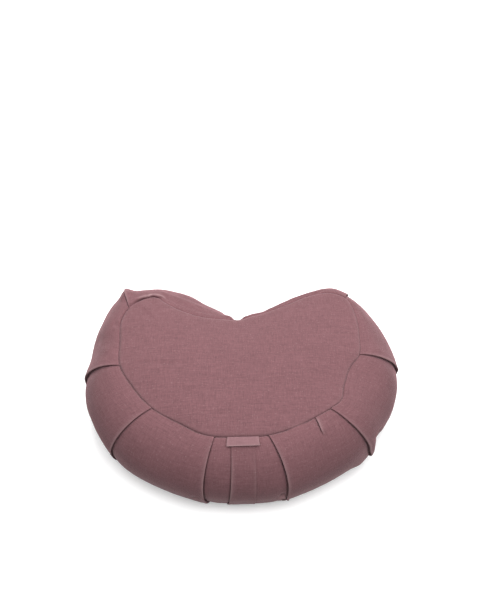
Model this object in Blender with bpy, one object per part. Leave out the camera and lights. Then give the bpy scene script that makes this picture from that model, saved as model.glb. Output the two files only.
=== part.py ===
# Crescent floor cushion: a pleated side band round a hull filling, a top panel, a bottom panel and a sewn-in label

import bpy
import numpy as np

# Driving sizes, in millimetres unless the name says otherwise
MM = 0.001
PANEL_THICK = 1.8
PIECE_GAP = 0.35
LIP_INSET = 0.3
EDGE_INSET = 0.7
BED_EDGE_DROP = 0.25
TOP_SEAM_SINK = 0.5
CROWN_RISE = 13.0
CROWN_POWER = 0.62
MID_HEIGHT_SHARE = 0.465
BOTTOM_LIP_HEIGHT = 0.6
BOTTOM_TUCK = 0.12
UPPER_ROUNDNESS = 1.9
LOWER_ROUNDNESS = 2.5
LIP_REACH = 16.0
VALLEY_REACH = 8.0
FOLD_HALF_WIDTH = 0.35
CENTRE_X = 1.1
CENTRE_Y = 10.5

# Outline of the cushion, one row per station, going round from the notch by the left lobe and the front.
# The seam columns say where the top panel is sewn on, the wide columns where the band stands furthest out.
STATION_COLUMNS = ("name", "seam_x", "seam_y", "seam_z", "wide_x", "wide_y")
STATIONS = (
    ("notch", -3, 98, 109, -4, 106),
    ("back left 1", -27, 99, 110, -26, 134),
    ("back left 2", -54, 102, 111, -43, 151),
    ("back left 3", -83, 112, 112, -62, 166),
    ("back left 4", -105, 125, 112, -88, 175),
    ("left lobe", -125, 140, 111, -125, 178),
    ("left corner", -155, 127, 110, -184, 164),
    ("left side 1", -170, 98, 111, -208, 112),
    ("left side 2", -170, 56, 112, -217, 55),
    ("left side 3", -168, 16, 112, -219, 2),
    ("left front 1", -150, -19, 112, -203, -51),
    ("left front 2", -120, -57, 112, -162, -102),
    ("left front 3", -82, -82, 112, -111, -134),
    ("left front 4", -45, -101, 112, -60, -152),
    ("front middle", 4, -103, 112, 6, -157),
    ("right front 1", 40, -100, 112, 52, -153),
    ("right front 2", 82, -83, 112, 107, -132),
    ("right front 3", 122, -57, 112, 161, -97),
    ("right front corner", 137, -43, 112, 182, -72),
    ("right side 1", 142, -20, 112, 199, -43),
    ("right side 2", 152, 12, 112, 216, -11),
    ("right side 3", 166, 34, 112, 223, 20),
    ("right side 4", 168, 69, 111, 217, 69),
    ("right side 5", 165, 104, 111, 199, 113),
    ("right corner", 153, 136, 111, 169, 150),
    ("right lobe", 130, 148, 111, 135, 178),
    ("back right 1", 100, 142, 111, 93, 168),
    ("back right 2", 68, 126, 111, 58, 151),
    ("back right 3", 33, 110, 110, 29, 129),
    ("back right 4", 13, 104, 109, 10, 124),
)

# Folds of the side band. Top, middle and low give the run of the fold edge round the cushion, measured
# along the top seam from the notch, at the top seam, halfway down and at the bottom seam.
# Over is the side whose cloth lies on top: -1 towards the notch by the left, 1 towards the notch by the right.
# Lip is how far the folded edge stands out, valley how far the cloth beside it sinks.
# Start, peak and end say how far down the band, as a share, the fold opens, stands out most and closes.
FOLD_COLUMNS = ("name", "top", "middle", "low", "over", "lip", "valley", "start", "peak", "end")
FOLDS = (
    ("left corner", 175, 153, 148, -1, 6.0, 1.5, 0.02, 0.28, 0.95),
    ("left side", 283, 266, 252, -1, 4.5, 1.4, 0.01, 0.40, 1.00),
    ("left front", 370, 356, 342, -1, 1.8, 3.2, 0.01, 0.50, 1.00),
    ("front outer left", 468, 465, 474, -1, 2.4, 1.8, 0.02, 0.50, 0.90),
    ("front inner left", 487, 490, 489, 1, 1.6, 0.8, 0.10, 0.55, 0.95),
    ("front inner right", 520, 518, 517, -1, 0.8, 0.3, 0.10, 0.45, 0.90),
    ("front outer right", 538, 550, 553, 1, 3.6, 1.2, 0.01, 0.60, 0.95),
    ("short tuck", 612, 600, 596, 1, 1.4, 0.6, 0.00, 0.05, 0.20),
    ("right front", 635, 650, 660, 1, 4.5, 1.4, 0.01, 0.52, 1.00),
    ("right side", 740, 758, 770, 1, 5.0, 1.6, 0.01, 0.42, 1.00),
    ("right corner", 847, 858, 862, 1, 3.0, 0.8, 0.02, 0.20, 0.70),
)

# The label: a tape folded in half, caught in the top seam, lying on the band below it.
# Start and end are measured along the top seam and drop down the band; tilt is added to the drop at its right end.
LABEL = {"start": 485.0, "end": 526.0, "off_seam": 0.4, "drop": 14.0, "tilt": -0.8, "thick": 1.2, "lift_low": 1.4}

# Where the four sides of a panel's mesh meet, measured along the top seam from the notch
PANEL_CORNERS = {"left lobe": 150.0, "left front": 370.0, "right front": 652.0, "right lobe": 850.0}

# How finely each surface is cut
SPLINE_STEPS = 16
OUTLINE_SAMPLES = 2000
BAND_ROWS = (0.0, 0.02, 0.06, 0.12, 0.19, 0.26, 0.33, 0.40, 0.47, 0.54, 0.61, 0.68, 0.75, 0.82, 0.88, 0.93, 0.97, 1.0)
FOLD_COLUMNS_NEAR = (4.0, 11.0, 22.0)
WIDEST_COLUMN = 11.0
TOP_GRID = (20, 14)
BOTTOM_GRID = (10, 7)
GRID_MARGIN = (0.06, 0.09)
LABEL_GRID = (9, 4)
LABEL_SCAN_STEPS = 401
LABEL_SCAN_DROP = 0.4
SEAM_LEAST_DROP = 0.03
SLOPE_STEP_ALONG = 2.0
SLOPE_STEP_DOWN = 0.01


def closed_spline(rows, samples):
    """A smooth closed curve through the rows, cut into even steps along its plan length."""
    points = np.asarray(rows, float)
    count = len(points)
    pieces = []
    for i in range(count):
        a, b, c, d = (points[(i + k - 1) % count] for k in range(4))
        knots = [0.0]
        for start, stop in ((a, b), (b, c), (c, d)):
            knots.append(knots[-1] + np.hypot(*(stop - start)[:2]) ** 0.5)
        t0, t1, t2, t3 = knots
        t = np.linspace(t1, t2, SPLINE_STEPS, endpoint=False)[:, None]
        ab = (t1 - t) / (t1 - t0) * a + (t - t0) / (t1 - t0) * b
        bc = (t2 - t) / (t2 - t1) * b + (t - t1) / (t2 - t1) * c
        cd = (t3 - t) / (t3 - t2) * c + (t - t2) / (t3 - t2) * d
        abc = (t2 - t) / (t2 - t0) * ab + (t - t0) / (t2 - t0) * bc
        bcd = (t3 - t) / (t3 - t1) * bc + (t - t1) / (t3 - t1) * cd
        pieces.append((t2 - t) / (t2 - t1) * abc + (t - t1) / (t2 - t1) * bcd)
    curve = np.concatenate(pieces + [pieces[0][:1]])
    length = np.concatenate([[0.0], np.cumsum(np.hypot(*np.diff(curve[:, :2], axis=0).T))])
    even = np.linspace(0.0, length[-1], samples + 1)
    return np.stack([np.interp(even, length, column) for column in curve.T], 1), length[-1]


OUTLINE, PERIMETER = closed_spline([row[1:] for row in STATIONS], OUTLINE_SAMPLES)
OUTLINE[:, 0] -= CENTRE_X
OUTLINE[:, 1] -= CENTRE_Y
OUTLINE[:, 3] -= CENTRE_X
OUTLINE[:, 4] -= CENTRE_Y


def outline_at(place):
    """Seam x, y, z and wide x, y at places along the top seam."""
    place = np.mod(place, PERIMETER)
    at = np.linspace(0.0, PERIMETER, OUTLINE_SAMPLES + 1)
    return [np.interp(place, at, column) for column in OUTLINE.T]


def inward(place):
    """The direction in plan from the seam towards the middle of the panel."""
    ahead = outline_at(place + SLOPE_STEP_ALONG)
    behind = outline_at(place - SLOPE_STEP_ALONG)
    along = np.stack([ahead[0] - behind[0], ahead[1] - behind[1]], -1)
    along /= np.linalg.norm(along, axis=-1, keepdims=True)
    return np.stack([-along[..., 1], along[..., 0]], -1)


def band_base(place, drop):
    """The plump band without its folds; drop runs from 0 at the top seam to 1 at the bottom seam."""
    seam_x, seam_y, seam_z, wide_x, wide_y = outline_at(place)
    angle = np.pi / 2 - np.pi * drop
    upper = angle >= 0
    middle = MID_HEIGHT_SHARE * (seam_z + BOTTOM_LIP_HEIGHT)
    roundness = np.where(upper, UPPER_ROUNDNESS, LOWER_ROUNDNESS)
    out = np.abs(np.cos(angle)) ** (2 / roundness)
    high = np.abs(np.sin(angle)) ** (2 / roundness)
    foot_x = np.where(upper, seam_x, seam_x + (wide_x - seam_x) * BOTTOM_TUCK)
    foot_y = np.where(upper, seam_y, seam_y + (wide_y - seam_y) * BOTTOM_TUCK)
    x = foot_x + (wide_x - foot_x) * out
    y = foot_y + (wide_y - foot_y) * out
    z = middle + np.where(upper, seam_z - middle, BOTTOM_LIP_HEIGHT - middle) * high
    return np.stack([x, y, z], -1)


def band_outward(place, drop):
    """The direction that points straight out of the band."""
    low = np.clip(drop, SEAM_LEAST_DROP, 1 - SEAM_LEAST_DROP)
    round_way = band_base(place + SLOPE_STEP_ALONG, low) - band_base(place - SLOPE_STEP_ALONG, low)
    down_way = band_base(place, low + SLOPE_STEP_DOWN) - band_base(place, low - SLOPE_STEP_DOWN)
    out = np.cross(down_way, round_way)
    return out / np.linalg.norm(out, axis=-1, keepdims=True)


def ease(value):
    """Zero below 0, one above 1, and a soft change between."""
    value = np.clip(value, 0.0, 1.0)
    return value * value * (3 - 2 * value)


def fold_place(fold, drop):
    """Where a fold edge runs, along the top seam, at each drop."""
    top, middle, low = fold[1:4]
    return top * (1 - drop) * (1 - 2 * drop) + middle * 4 * drop * (1 - drop) + low * drop * (2 * drop - 1)


def fold_openness(fold, drop):
    """How open a fold is at each drop, from 0 to 1."""
    start, peak, end = fold[7:10]
    return np.sqrt(ease((drop - start) / (peak - start)) * ease((end - drop) / (end - peak)))


def band_rise(place, drop):
    """How far the folds lift or sink the band's cloth."""
    rise = np.zeros(np.broadcast(place, drop).shape)
    for fold in FOLDS:
        over, lip, valley = fold[4:7]
        away = (np.mod(place - fold_place(fold, drop) + PERIMETER / 2, PERIMETER) - PERIMETER / 2) * over
        open_now = fold_openness(fold, drop)
        on_top = lip * np.exp(-(away / LIP_REACH) ** 2)
        beside = -valley * np.exp(-(away / VALLEY_REACH) ** 2)
        rise = rise + open_now * np.where(away > 0, on_top, beside)
    return rise


def band_point(place, drop):
    """The finished surface of the band."""
    return band_base(place, drop) + band_outward(place, drop) * band_rise(place, drop)[..., None]


def band_columns():
    """Columns of the band's mesh: the fold that each starts from, and its share of the way to the next fold."""
    columns = []
    for number, fold in enumerate(FOLDS):
        following = FOLDS[(number + 1) % len(FOLDS)]
        width = (following[1] - fold[1]) % PERIMETER
        near = [FOLD_HALF_WIDTH] + [away for away in FOLD_COLUMNS_NEAR if away < width * 0.4]
        places = near + [width - away for away in reversed(near)]
        gap = places[len(near)] - places[len(near) - 1]
        extra = int(gap // WIDEST_COLUMN)
        fill = [places[len(near) - 1] + gap * (k + 1) / (extra + 1) for k in range(extra)]
        places = places[:len(near)] + fill + places[len(near):]
        columns += [(number, place / width) for place in places]
    return columns


def column_place(column, drop):
    """Where a column of the mesh runs at a given drop."""
    number, share = column
    here = fold_place(FOLDS[number], drop)
    following = fold_place(FOLDS[(number + 1) % len(FOLDS)], drop)
    return here + ((following - here) % PERIMETER) * share


COLUMNS = band_columns()
RING_PLACES = np.array([column_place(column, 0.0) for column in COLUMNS])
LOW_RING_PLACES = np.array([column_place(column, 1.0) for column in COLUMNS])


def seam_ring(places, inset, low):
    """A ring in plan, set in from the top seam or from the bottom seam."""
    seam_x, seam_y, seam_z, wide_x, wide_y = outline_at(places)
    ring = np.stack([seam_x, seam_y], -1)
    if low:
        ring = ring + np.stack([wide_x - seam_x, wide_y - seam_y], -1) * BOTTOM_TUCK
    return ring + inward(places) * inset, seam_z


def patch(grid, low):
    """A four-sided grid across a panel, with its plan, its seam height and its share of the crown."""
    lobe_left, front_left, front_right, lobe_right = PANEL_CORNERS.values()
    s = np.linspace(GRID_MARGIN[0], 1 - GRID_MARGIN[0], grid[0])
    t = np.linspace(GRID_MARGIN[1], 1 - GRID_MARGIN[1], grid[1])
    way_s, way_t = np.meshgrid(s, t, indexing="ij")

    def side(start, end, share):
        plan, height = seam_ring(start + (end - start) * share, 0.0, low)
        return np.concatenate([plan, height[..., None]], -1)

    front = side(front_left, front_right, way_s)
    back = side(lobe_left, lobe_right - PERIMETER, way_s)
    left = side(front_left, lobe_left, way_t)
    right = side(front_right, lobe_right, way_t)
    corners = [side(place, place, np.zeros(1))[0] for place in (front_left, front_right, lobe_left, lobe_right)]
    a = way_s[..., None]
    b = way_t[..., None]
    across = (1 - b) * front + b * back
    along = (1 - a) * left + a * right
    flat = (1 - b) * ((1 - a) * corners[0] + a * corners[1]) + b * ((1 - a) * corners[2] + a * corners[3])
    crown = (16 * way_s * (1 - way_s) * way_t * (1 - way_t)) ** CROWN_POWER
    return across + along - flat, crown


def grid_rim(grid):
    """The numbers of the points round the edge of a grid, counter-clockwise from its first corner."""
    wide, deep = grid
    rim = [i * deep for i in range(wide)]
    rim += [(wide - 1) * deep + j for j in range(1, deep)]
    rim += [i * deep + deep - 1 for i in range(wide - 2, -1, -1)]
    rim += [j for j in range(deep - 2, 0, -1)]
    return rim


def grid_faces(grid, first):
    """The squares of a grid, facing up."""
    wide, deep = grid
    faces = []
    for i in range(wide - 1):
        for j in range(deep - 1):
            corner = first + i * deep + j
            faces.append((corner, corner + deep, corner + deep + 1, corner + 1))
    return faces


def zip_rings(outer, inner, plan):
    """Triangles between two rings that both run counter-clockwise, facing up."""
    start = min(range(len(inner)), key=lambda k: np.hypot(*(plan[inner[k]] - plan[outer[0]])))
    inner = inner[start:] + inner[:start]
    faces = []
    i = 0
    j = 0
    while i < len(outer) or j < len(inner):
        here_out = outer[i % len(outer)]
        here_in = inner[j % len(inner)]
        next_out = outer[(i + 1) % len(outer)]
        next_in = inner[(j + 1) % len(inner)]
        out_step = np.hypot(*(plan[next_out] - plan[here_in]))
        in_step = np.hypot(*(plan[next_in] - plan[here_out]))
        if j >= len(inner) or (i < len(outer) and out_step <= in_step):
            faces.append((here_out, next_out, here_in))
            i += 1
        else:
            faces.append((here_out, next_in, here_in))
            j += 1
    return faces


def panel_skin(grid, inset, low, drop_by):
    """Points and faces of one side of a panel: its edge ring first, then its grid, facing up.

    Only the ring depends on the inset, and the faces never do, so that two skins one above the other
    stay the same distance apart all over.
    """
    places = LOW_RING_PLACES if low else RING_PLACES
    ring, seam_z = seam_ring(places, inset, low)
    seam_line, _ = seam_ring(places, 0.0, low)
    inside, crown = patch(grid, low)
    if low:
        ring_z = np.full(len(ring), drop_by)
        inside_z = np.full(inside.shape[:2], drop_by)
    else:
        ring_z = seam_z - TOP_SEAM_SINK - drop_by
        inside_z = inside[..., 2] - TOP_SEAM_SINK + CROWN_RISE * crown - drop_by
    ring_points = np.concatenate([ring, ring_z[:, None]], -1)
    inside_points = np.concatenate([inside[..., :2], inside_z[..., None]], -1).reshape(-1, 3)
    points = np.concatenate([ring_points, inside_points])
    count = len(ring)
    rim = [count + k for k in grid_rim(grid)]
    plan = np.concatenate([seam_line, inside_points[:, :2]])
    faces = zip_rings(list(range(count)), rim, plan) + grid_faces(grid, count)
    return points, faces


def flipped(faces, shift=0):
    """The same faces, looking the other way."""
    return [tuple(k + shift for k in reversed(face)) for face in faces]


def shifted(faces, shift):
    """The same faces, further on in the list of points."""
    return [tuple(k + shift for k in face) for face in faces]


def make_object(name, points, faces, colour):
    """A named mesh object with its own material; sizes come in as millimetres."""
    mesh = bpy.data.meshes.new(name)
    mesh.from_pydata([tuple(float(c) * MM for c in point) for point in points], [], faces)
    mesh.validate()
    mesh.update()
    material = bpy.data.materials.new(name + "_cloth")
    material.use_nodes = True
    shader = material.node_tree.nodes["Principled BSDF"]
    shader.inputs["Base Color"].default_value = (*colour, 1.0)
    shader.inputs["Roughness"].default_value = 0.95
    mesh.materials.append(material)
    made = bpy.data.objects.new(name, mesh)
    bpy.context.scene.collection.objects.link(made)
    return made


def side_band():
    """The filled body: the folded band outside, and the bed of each panel set into it above and below."""
    rows = len(BAND_ROWS)
    count = len(COLUMNS)
    place = np.array([[column_place(column, drop) for column in COLUMNS] for drop in BAND_ROWS])
    drop = np.array(BAND_ROWS)[:, None] * np.ones((1, count))
    band = band_point(place, drop).reshape(-1, 3)
    faces = []
    for row in range(rows - 1):
        for k in range(count):
            following = (k + 1) % count
            faces.append((row * count + k, (row + 1) * count + k, (row + 1) * count + following, row * count + following))
    top, top_faces = panel_skin(TOP_GRID, LIP_INSET, False, PANEL_THICK + PIECE_GAP)
    top[:count, 2] -= BED_EDGE_DROP
    low, low_faces = panel_skin(BOTTOM_GRID, LIP_INSET, True, PANEL_THICK + PIECE_GAP)
    first_top = len(band)
    first_low = first_top + len(top)
    for k in range(count):
        following = (k + 1) % count
        faces.append((first_top + k, k, following, first_top + following))
        last = (rows - 1) * count
        faces.append((last + k, first_low + k, first_low + following, last + following))
    faces += shifted(top_faces, first_top) + flipped(low_faces, first_low)
    return np.concatenate([band, top, low]), faces


def panel(grid, low):
    """A panel of cloth as a thin closed sheet."""
    if low:
        upper, faces = panel_skin(grid, EDGE_INSET, True, PANEL_THICK)
        lower, _ = panel_skin(grid, EDGE_INSET, True, 0.0)
    else:
        upper, faces = panel_skin(grid, EDGE_INSET, False, 0.0)
        lower, _ = panel_skin(grid, EDGE_INSET, False, PANEL_THICK)
    count = len(COLUMNS)
    shift = len(upper)
    rim = [(k, shift + k, shift + (k + 1) % count, (k + 1) % count) for k in range(count)]
    return np.concatenate([upper, lower]), faces + flipped(faces, shift) + rim


def label():
    """The folded tape, lying on the band from the top seam down and standing off a little at its lower edge."""
    across = np.linspace(LABEL["start"], LABEL["end"], LABEL_GRID[0])
    down = np.linspace(0.0, 1.0, LABEL_GRID[1])
    place, share = np.meshgrid(across, down, indexing="ij")
    scan = np.linspace(0.0, LABEL_SCAN_DROP, LABEL_SCAN_STEPS)
    line = band_base(np.full(LABEL_SCAN_STEPS, 0.5 * (LABEL["start"] + LABEL["end"])), scan)
    arc = np.concatenate([[0.0], np.cumsum(np.linalg.norm(np.diff(line, axis=0), axis=1))])
    tilt = LABEL["tilt"] * (place - LABEL["start"]) / (LABEL["end"] - LABEL["start"])
    drop = np.interp(LABEL["off_seam"] + share * (LABEL["drop"] + tilt), arc, scan)
    out = band_outward(place, drop)
    base = band_base(place, drop)
    lift = PIECE_GAP + (LABEL["lift_low"] - PIECE_GAP) * share * share
    inner = base + out * lift[..., None]
    outer = base + out * (lift + LABEL["thick"])[..., None]
    points = np.concatenate([outer.reshape(-1, 3), inner.reshape(-1, 3)])
    faces = grid_faces(LABEL_GRID, 0)
    shift = LABEL_GRID[0] * LABEL_GRID[1]
    rim = grid_rim(LABEL_GRID)
    walls = [(rim[k], shift + rim[k], shift + rim[(k + 1) % len(rim)], rim[(k + 1) % len(rim)]) for k in range(len(rim))]
    return points, flipped(faces) + shifted(faces, shift) + [tuple(reversed(face)) for face in walls]


# Start from an empty scene
for old in list(bpy.data.objects):
    bpy.data.objects.remove(old, do_unlink=True)

BAND_COLOUR = (0.27, 0.135, 0.145)
PANEL_COLOUR = (0.33, 0.165, 0.185)
LABEL_COLOUR = (0.40, 0.19, 0.22)

make_object("side_band", *side_band(), BAND_COLOUR)
make_object("top_panel", *panel(TOP_GRID, False), PANEL_COLOUR)
make_object("bottom_panel", *panel(BOTTOM_GRID, True), PANEL_COLOUR)
make_object("label", *label(), LABEL_COLOUR)
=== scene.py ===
# %% [markdown]
# # A crescent floor cushion in slubby linen
#
# The real cushion is a firm, heavy bag. A crescent of linen lies on top, the same crescent lies below, and one
# long strip of linen is sewn between them. The strip is longer than the edge of the crescent, and the surplus is
# laid in knife pleats, which open into soft folds where the filling pushes the strip outwards. A short folded
# tape is caught in the top seam at the front.
#
# The lesson goes the way a sewer would: outline, strip, pleats, filling, panels, tape, thread, and then the
# finish of the cloth and the light. Sizes are in millimetres until a mesh is made, because that is how the
# pieces of such a cushion are cut.

# %% Load the frame
import math
from collections import namedtuple

import bmesh
import bpy
import numpy as np
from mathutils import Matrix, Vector, noise
from mathutils.bvhtree import BVHTree
from mathutils.geometry import delaunay_2d_cdt
from mathutils.kdtree import KDTree


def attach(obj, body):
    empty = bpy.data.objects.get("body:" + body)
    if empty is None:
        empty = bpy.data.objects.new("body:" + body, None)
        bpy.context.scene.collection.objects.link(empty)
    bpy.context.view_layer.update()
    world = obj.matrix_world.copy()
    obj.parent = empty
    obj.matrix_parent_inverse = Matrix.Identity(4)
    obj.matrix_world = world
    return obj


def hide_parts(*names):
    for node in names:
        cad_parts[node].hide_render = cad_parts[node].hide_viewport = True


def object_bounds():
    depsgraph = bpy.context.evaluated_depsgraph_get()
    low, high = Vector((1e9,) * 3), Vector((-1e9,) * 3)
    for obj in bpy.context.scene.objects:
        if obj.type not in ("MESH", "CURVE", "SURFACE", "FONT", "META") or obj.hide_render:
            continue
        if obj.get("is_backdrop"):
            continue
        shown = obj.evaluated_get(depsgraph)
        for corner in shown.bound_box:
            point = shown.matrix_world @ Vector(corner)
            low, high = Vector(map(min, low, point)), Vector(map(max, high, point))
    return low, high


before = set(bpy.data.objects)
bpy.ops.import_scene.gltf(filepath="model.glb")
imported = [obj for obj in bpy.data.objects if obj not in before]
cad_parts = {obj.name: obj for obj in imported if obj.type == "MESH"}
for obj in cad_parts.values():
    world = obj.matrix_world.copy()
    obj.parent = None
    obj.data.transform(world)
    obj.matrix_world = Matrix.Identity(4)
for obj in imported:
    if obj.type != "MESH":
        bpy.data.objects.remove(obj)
CAD_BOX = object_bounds()
MM = 0.001
print("solids to dress:", sorted(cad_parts))

# %% [markdown]
# ## Where the camera stands
#
# The photograph looks down on the cushion from in front, and the cushion sits low in a tall white frame. A
# camera could be shifted to get that, but a shift would stay in every other view. A real photographer tips the
# camera up a little, and so does this cell.

# %% Stand the camera in front and above
PICTURE_HEIGHT = 605
PICTURE_MIDDLE = (240.0, 302.5)
FOCUS_PIXEL = (241.0, 396.0)
FOCAL_PIXELS = 1272.1
FOCUS_POINT = Vector((-0.0011, -0.0105, 0.06))
CAMERA_DISTANCE = 1.8
CAMERA_ELEVATION = math.radians(54.5)
SENSOR_LONG_SIDE = 36.0


def add_object(name, data):
    """A new object of the scene with this data."""
    made = bpy.data.objects.new(name, data)
    bpy.context.scene.collection.objects.link(made)
    return made


def stand_camera():
    """The photograph's view: aimed at the focus point, then tipped until that point sits at its own pixel."""
    camera_data = bpy.data.cameras.new("studio_camera")
    camera_data.lens = FOCAL_PIXELS * SENSOR_LONG_SIDE / PICTURE_HEIGHT
    camera = add_object("studio_camera", camera_data)
    back = Vector((0.0, -math.cos(CAMERA_ELEVATION), math.sin(CAMERA_ELEVATION)))
    camera.location = FOCUS_POINT + back * CAMERA_DISTANCE
    tip = math.atan((FOCUS_PIXEL[1] - PICTURE_MIDDLE[1]) / FOCAL_PIXELS)
    turn = math.atan((FOCUS_PIXEL[0] - PICTURE_MIDDLE[0]) / FOCAL_PIXELS)
    camera.rotation_euler = (math.pi / 2 - CAMERA_ELEVATION + tip, 0.0, turn)
    bpy.context.scene.camera = camera
    return camera


studio_camera = stand_camera()
print("camera at", [round(c, 3) for c in studio_camera.location], "lens", round(studio_camera.data.lens, 1), "mm")

# %% [markdown]
# ## The outline
#
# A pattern cutter would draw this cushion as two closed lines: the seam of the top panel, and the widest line of
# the strip, which the filling pushes out past the seam. Thirty stations are enough for both. A smooth curve that
# passes through every station is a Catmull-Rom spline. The centripetal kind is used, because it makes no loops
# where stations are close together, as they are at the notch.

# %% Draw the two closed lines
# Each row holds a name, the top seam's x, y and height there, and the widest line's x and y.
STATIONS = (
    ("notch", -3, 98, 109, -4, 106),
    ("back left 1", -27, 99, 110, -26, 134),
    ("back left 2", -54, 102, 111, -43, 151),
    ("back left 3", -83, 112, 112, -62, 166),
    ("back left 4", -105, 125, 112, -88, 175),
    ("left lobe", -125, 140, 111, -125, 178),
    ("left corner", -155, 127, 110, -184, 164),
    ("left side 1", -170, 98, 111, -208, 112),
    ("left side 2", -170, 56, 112, -217, 55),
    ("left side 3", -168, 16, 112, -219, 2),
    ("left front 1", -150, -19, 112, -203, -51),
    ("left front 2", -120, -57, 112, -162, -102),
    ("left front 3", -82, -82, 112, -111, -134),
    ("left front 4", -45, -101, 112, -60, -152),
    ("front middle", 4, -103, 112, 6, -157),
    ("right front 1", 40, -100, 112, 52, -153),
    ("right front 2", 82, -83, 112, 107, -132),
    ("right front 3", 122, -57, 112, 161, -97),
    ("right front corner", 137, -43, 112, 182, -72),
    ("right side 1", 142, -20, 112, 199, -43),
    ("right side 2", 152, 12, 112, 216, -11),
    ("right side 3", 166, 34, 112, 223, 20),
    ("right side 4", 168, 69, 111, 217, 69),
    ("right side 5", 165, 104, 111, 199, 113),
    ("right corner", 153, 136, 111, 169, 150),
    ("right lobe", 130, 148, 111, 135, 178),
    ("back right 1", 100, 142, 111, 93, 168),
    ("back right 2", 68, 126, 111, 58, 151),
    ("back right 3", 33, 110, 110, 29, 129),
    ("back right 4", 13, 104, 109, 10, 124),
)
CENTRE_X = 1.1
CENTRE_Y = 10.5
SPLINE_STEPS = 16
OUTLINE_SAMPLES = 2000


def closed_spline(rows, samples):
    """A smooth closed curve through the rows, cut into even steps along its plan length."""
    points = np.asarray(rows, float)
    count = len(points)
    pieces = []
    for i in range(count):
        a, b, c, d = (points[(i + k - 1) % count] for k in range(4))
        knots = [0.0]
        for start, stop in ((a, b), (b, c), (c, d)):
            knots.append(knots[-1] + np.hypot(*(stop - start)[:2]) ** 0.5)
        t0, t1, t2, t3 = knots
        t = np.linspace(t1, t2, SPLINE_STEPS, endpoint=False)[:, None]
        ab = (t1 - t) / (t1 - t0) * a + (t - t0) / (t1 - t0) * b
        bc = (t2 - t) / (t2 - t1) * b + (t - t1) / (t2 - t1) * c
        cd = (t3 - t) / (t3 - t2) * c + (t - t2) / (t3 - t2) * d
        abc = (t2 - t) / (t2 - t0) * ab + (t - t0) / (t2 - t0) * bc
        bcd = (t3 - t) / (t3 - t1) * bc + (t - t1) / (t3 - t1) * cd
        pieces.append((t2 - t) / (t2 - t1) * abc + (t - t1) / (t2 - t1) * bcd)
    curve = np.concatenate(pieces + [pieces[0][:1]])
    length = np.concatenate([[0.0], np.cumsum(np.hypot(*np.diff(curve[:, :2], axis=0).T))])
    even = np.linspace(0.0, length[-1], samples + 1)
    return np.stack([np.interp(even, length, column) for column in curve.T], 1), length[-1]


OUTLINE, PERIMETER = closed_spline([row[1:] for row in STATIONS], OUTLINE_SAMPLES)
OUTLINE -= np.array([CENTRE_X, CENTRE_Y, 0.0, CENTRE_X, CENTRE_Y])


def outline_at(place):
    """Seam x, y, z and wide x, y at places measured along the top seam from the notch."""
    at = np.linspace(0.0, PERIMETER, OUTLINE_SAMPLES + 1)
    return [np.interp(np.mod(place, PERIMETER), at, column) for column in OUTLINE.T]


print("the top seam is", round(PERIMETER), "mm long")

# %% [markdown]
# ## The strip without its pleats
#
# Every point of the strip has two numbers: its place along the top seam, and its drop, from 0 at the top seam to
# 1 at the bottom seam. A section through the full strip is fuller than half an ellipse, because the filling
# presses it out all round. A superellipse has one more number than an ellipse, its roundness, and that is all it
# takes: the lower half sits squarer than the upper half, because the cushion's weight spreads it on the floor.

# %% Shape the strip
MID_HEIGHT_SHARE = 0.465
BOTTOM_LIP_HEIGHT = 0.6
BOTTOM_TUCK = 0.12
UPPER_ROUNDNESS = 1.9
LOWER_ROUNDNESS = 2.5
SEAM_LEAST_DROP = 0.03
SLOPE_STEP_ALONG = 2.0
SLOPE_STEP_DOWN = 0.01


def inward(place):
    """The direction in plan from the seam towards the middle of the panel."""
    ahead = outline_at(place + SLOPE_STEP_ALONG)
    behind = outline_at(place - SLOPE_STEP_ALONG)
    along = np.stack([ahead[0] - behind[0], ahead[1] - behind[1]], -1)
    along /= np.linalg.norm(along, axis=-1, keepdims=True)
    return np.stack([-along[..., 1], along[..., 0]], -1)


def strip_base(place, drop):
    """The plump strip without its pleats."""
    seam_x, seam_y, seam_z, wide_x, wide_y = outline_at(place)
    angle = np.pi / 2 - np.pi * drop
    upper = angle >= 0
    middle = MID_HEIGHT_SHARE * (seam_z + BOTTOM_LIP_HEIGHT)
    roundness = np.where(upper, UPPER_ROUNDNESS, LOWER_ROUNDNESS)
    out = np.abs(np.cos(angle)) ** (2 / roundness)
    high = np.abs(np.sin(angle)) ** (2 / roundness)
    foot_x = np.where(upper, seam_x, seam_x + (wide_x - seam_x) * BOTTOM_TUCK)
    foot_y = np.where(upper, seam_y, seam_y + (wide_y - seam_y) * BOTTOM_TUCK)
    x = foot_x + (wide_x - foot_x) * out
    y = foot_y + (wide_y - foot_y) * out
    z = middle + np.where(upper, seam_z - middle, BOTTOM_LIP_HEIGHT - middle) * high
    return np.stack([x, y, z], -1)


def strip_steps(place, drop):
    """How the strip's surface moves for one step along and one step down."""
    low = np.clip(drop, SEAM_LEAST_DROP, 1 - SEAM_LEAST_DROP)
    along = strip_base(place + SLOPE_STEP_ALONG, low) - strip_base(place - SLOPE_STEP_ALONG, low)
    down = strip_base(place, low + SLOPE_STEP_DOWN) - strip_base(place, low - SLOPE_STEP_DOWN)
    return along / (2 * SLOPE_STEP_ALONG), down / (2 * SLOPE_STEP_DOWN)


def strip_outward(place, drop):
    """The direction that points straight out of the strip."""
    along, down = strip_steps(place, drop)
    out = np.cross(down, along)
    return out / np.linalg.norm(out, axis=-1, keepdims=True)


def strip_stretch(place, drop):
    """Millimetres of cloth for each millimetre along the top seam."""
    along, _ = strip_steps(place, drop)
    return np.linalg.norm(along, axis=-1)


print("widest line:", round(float(strip_stretch(np.arange(0.0, PERIMETER), 0.5).sum())), "mm round")

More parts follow.
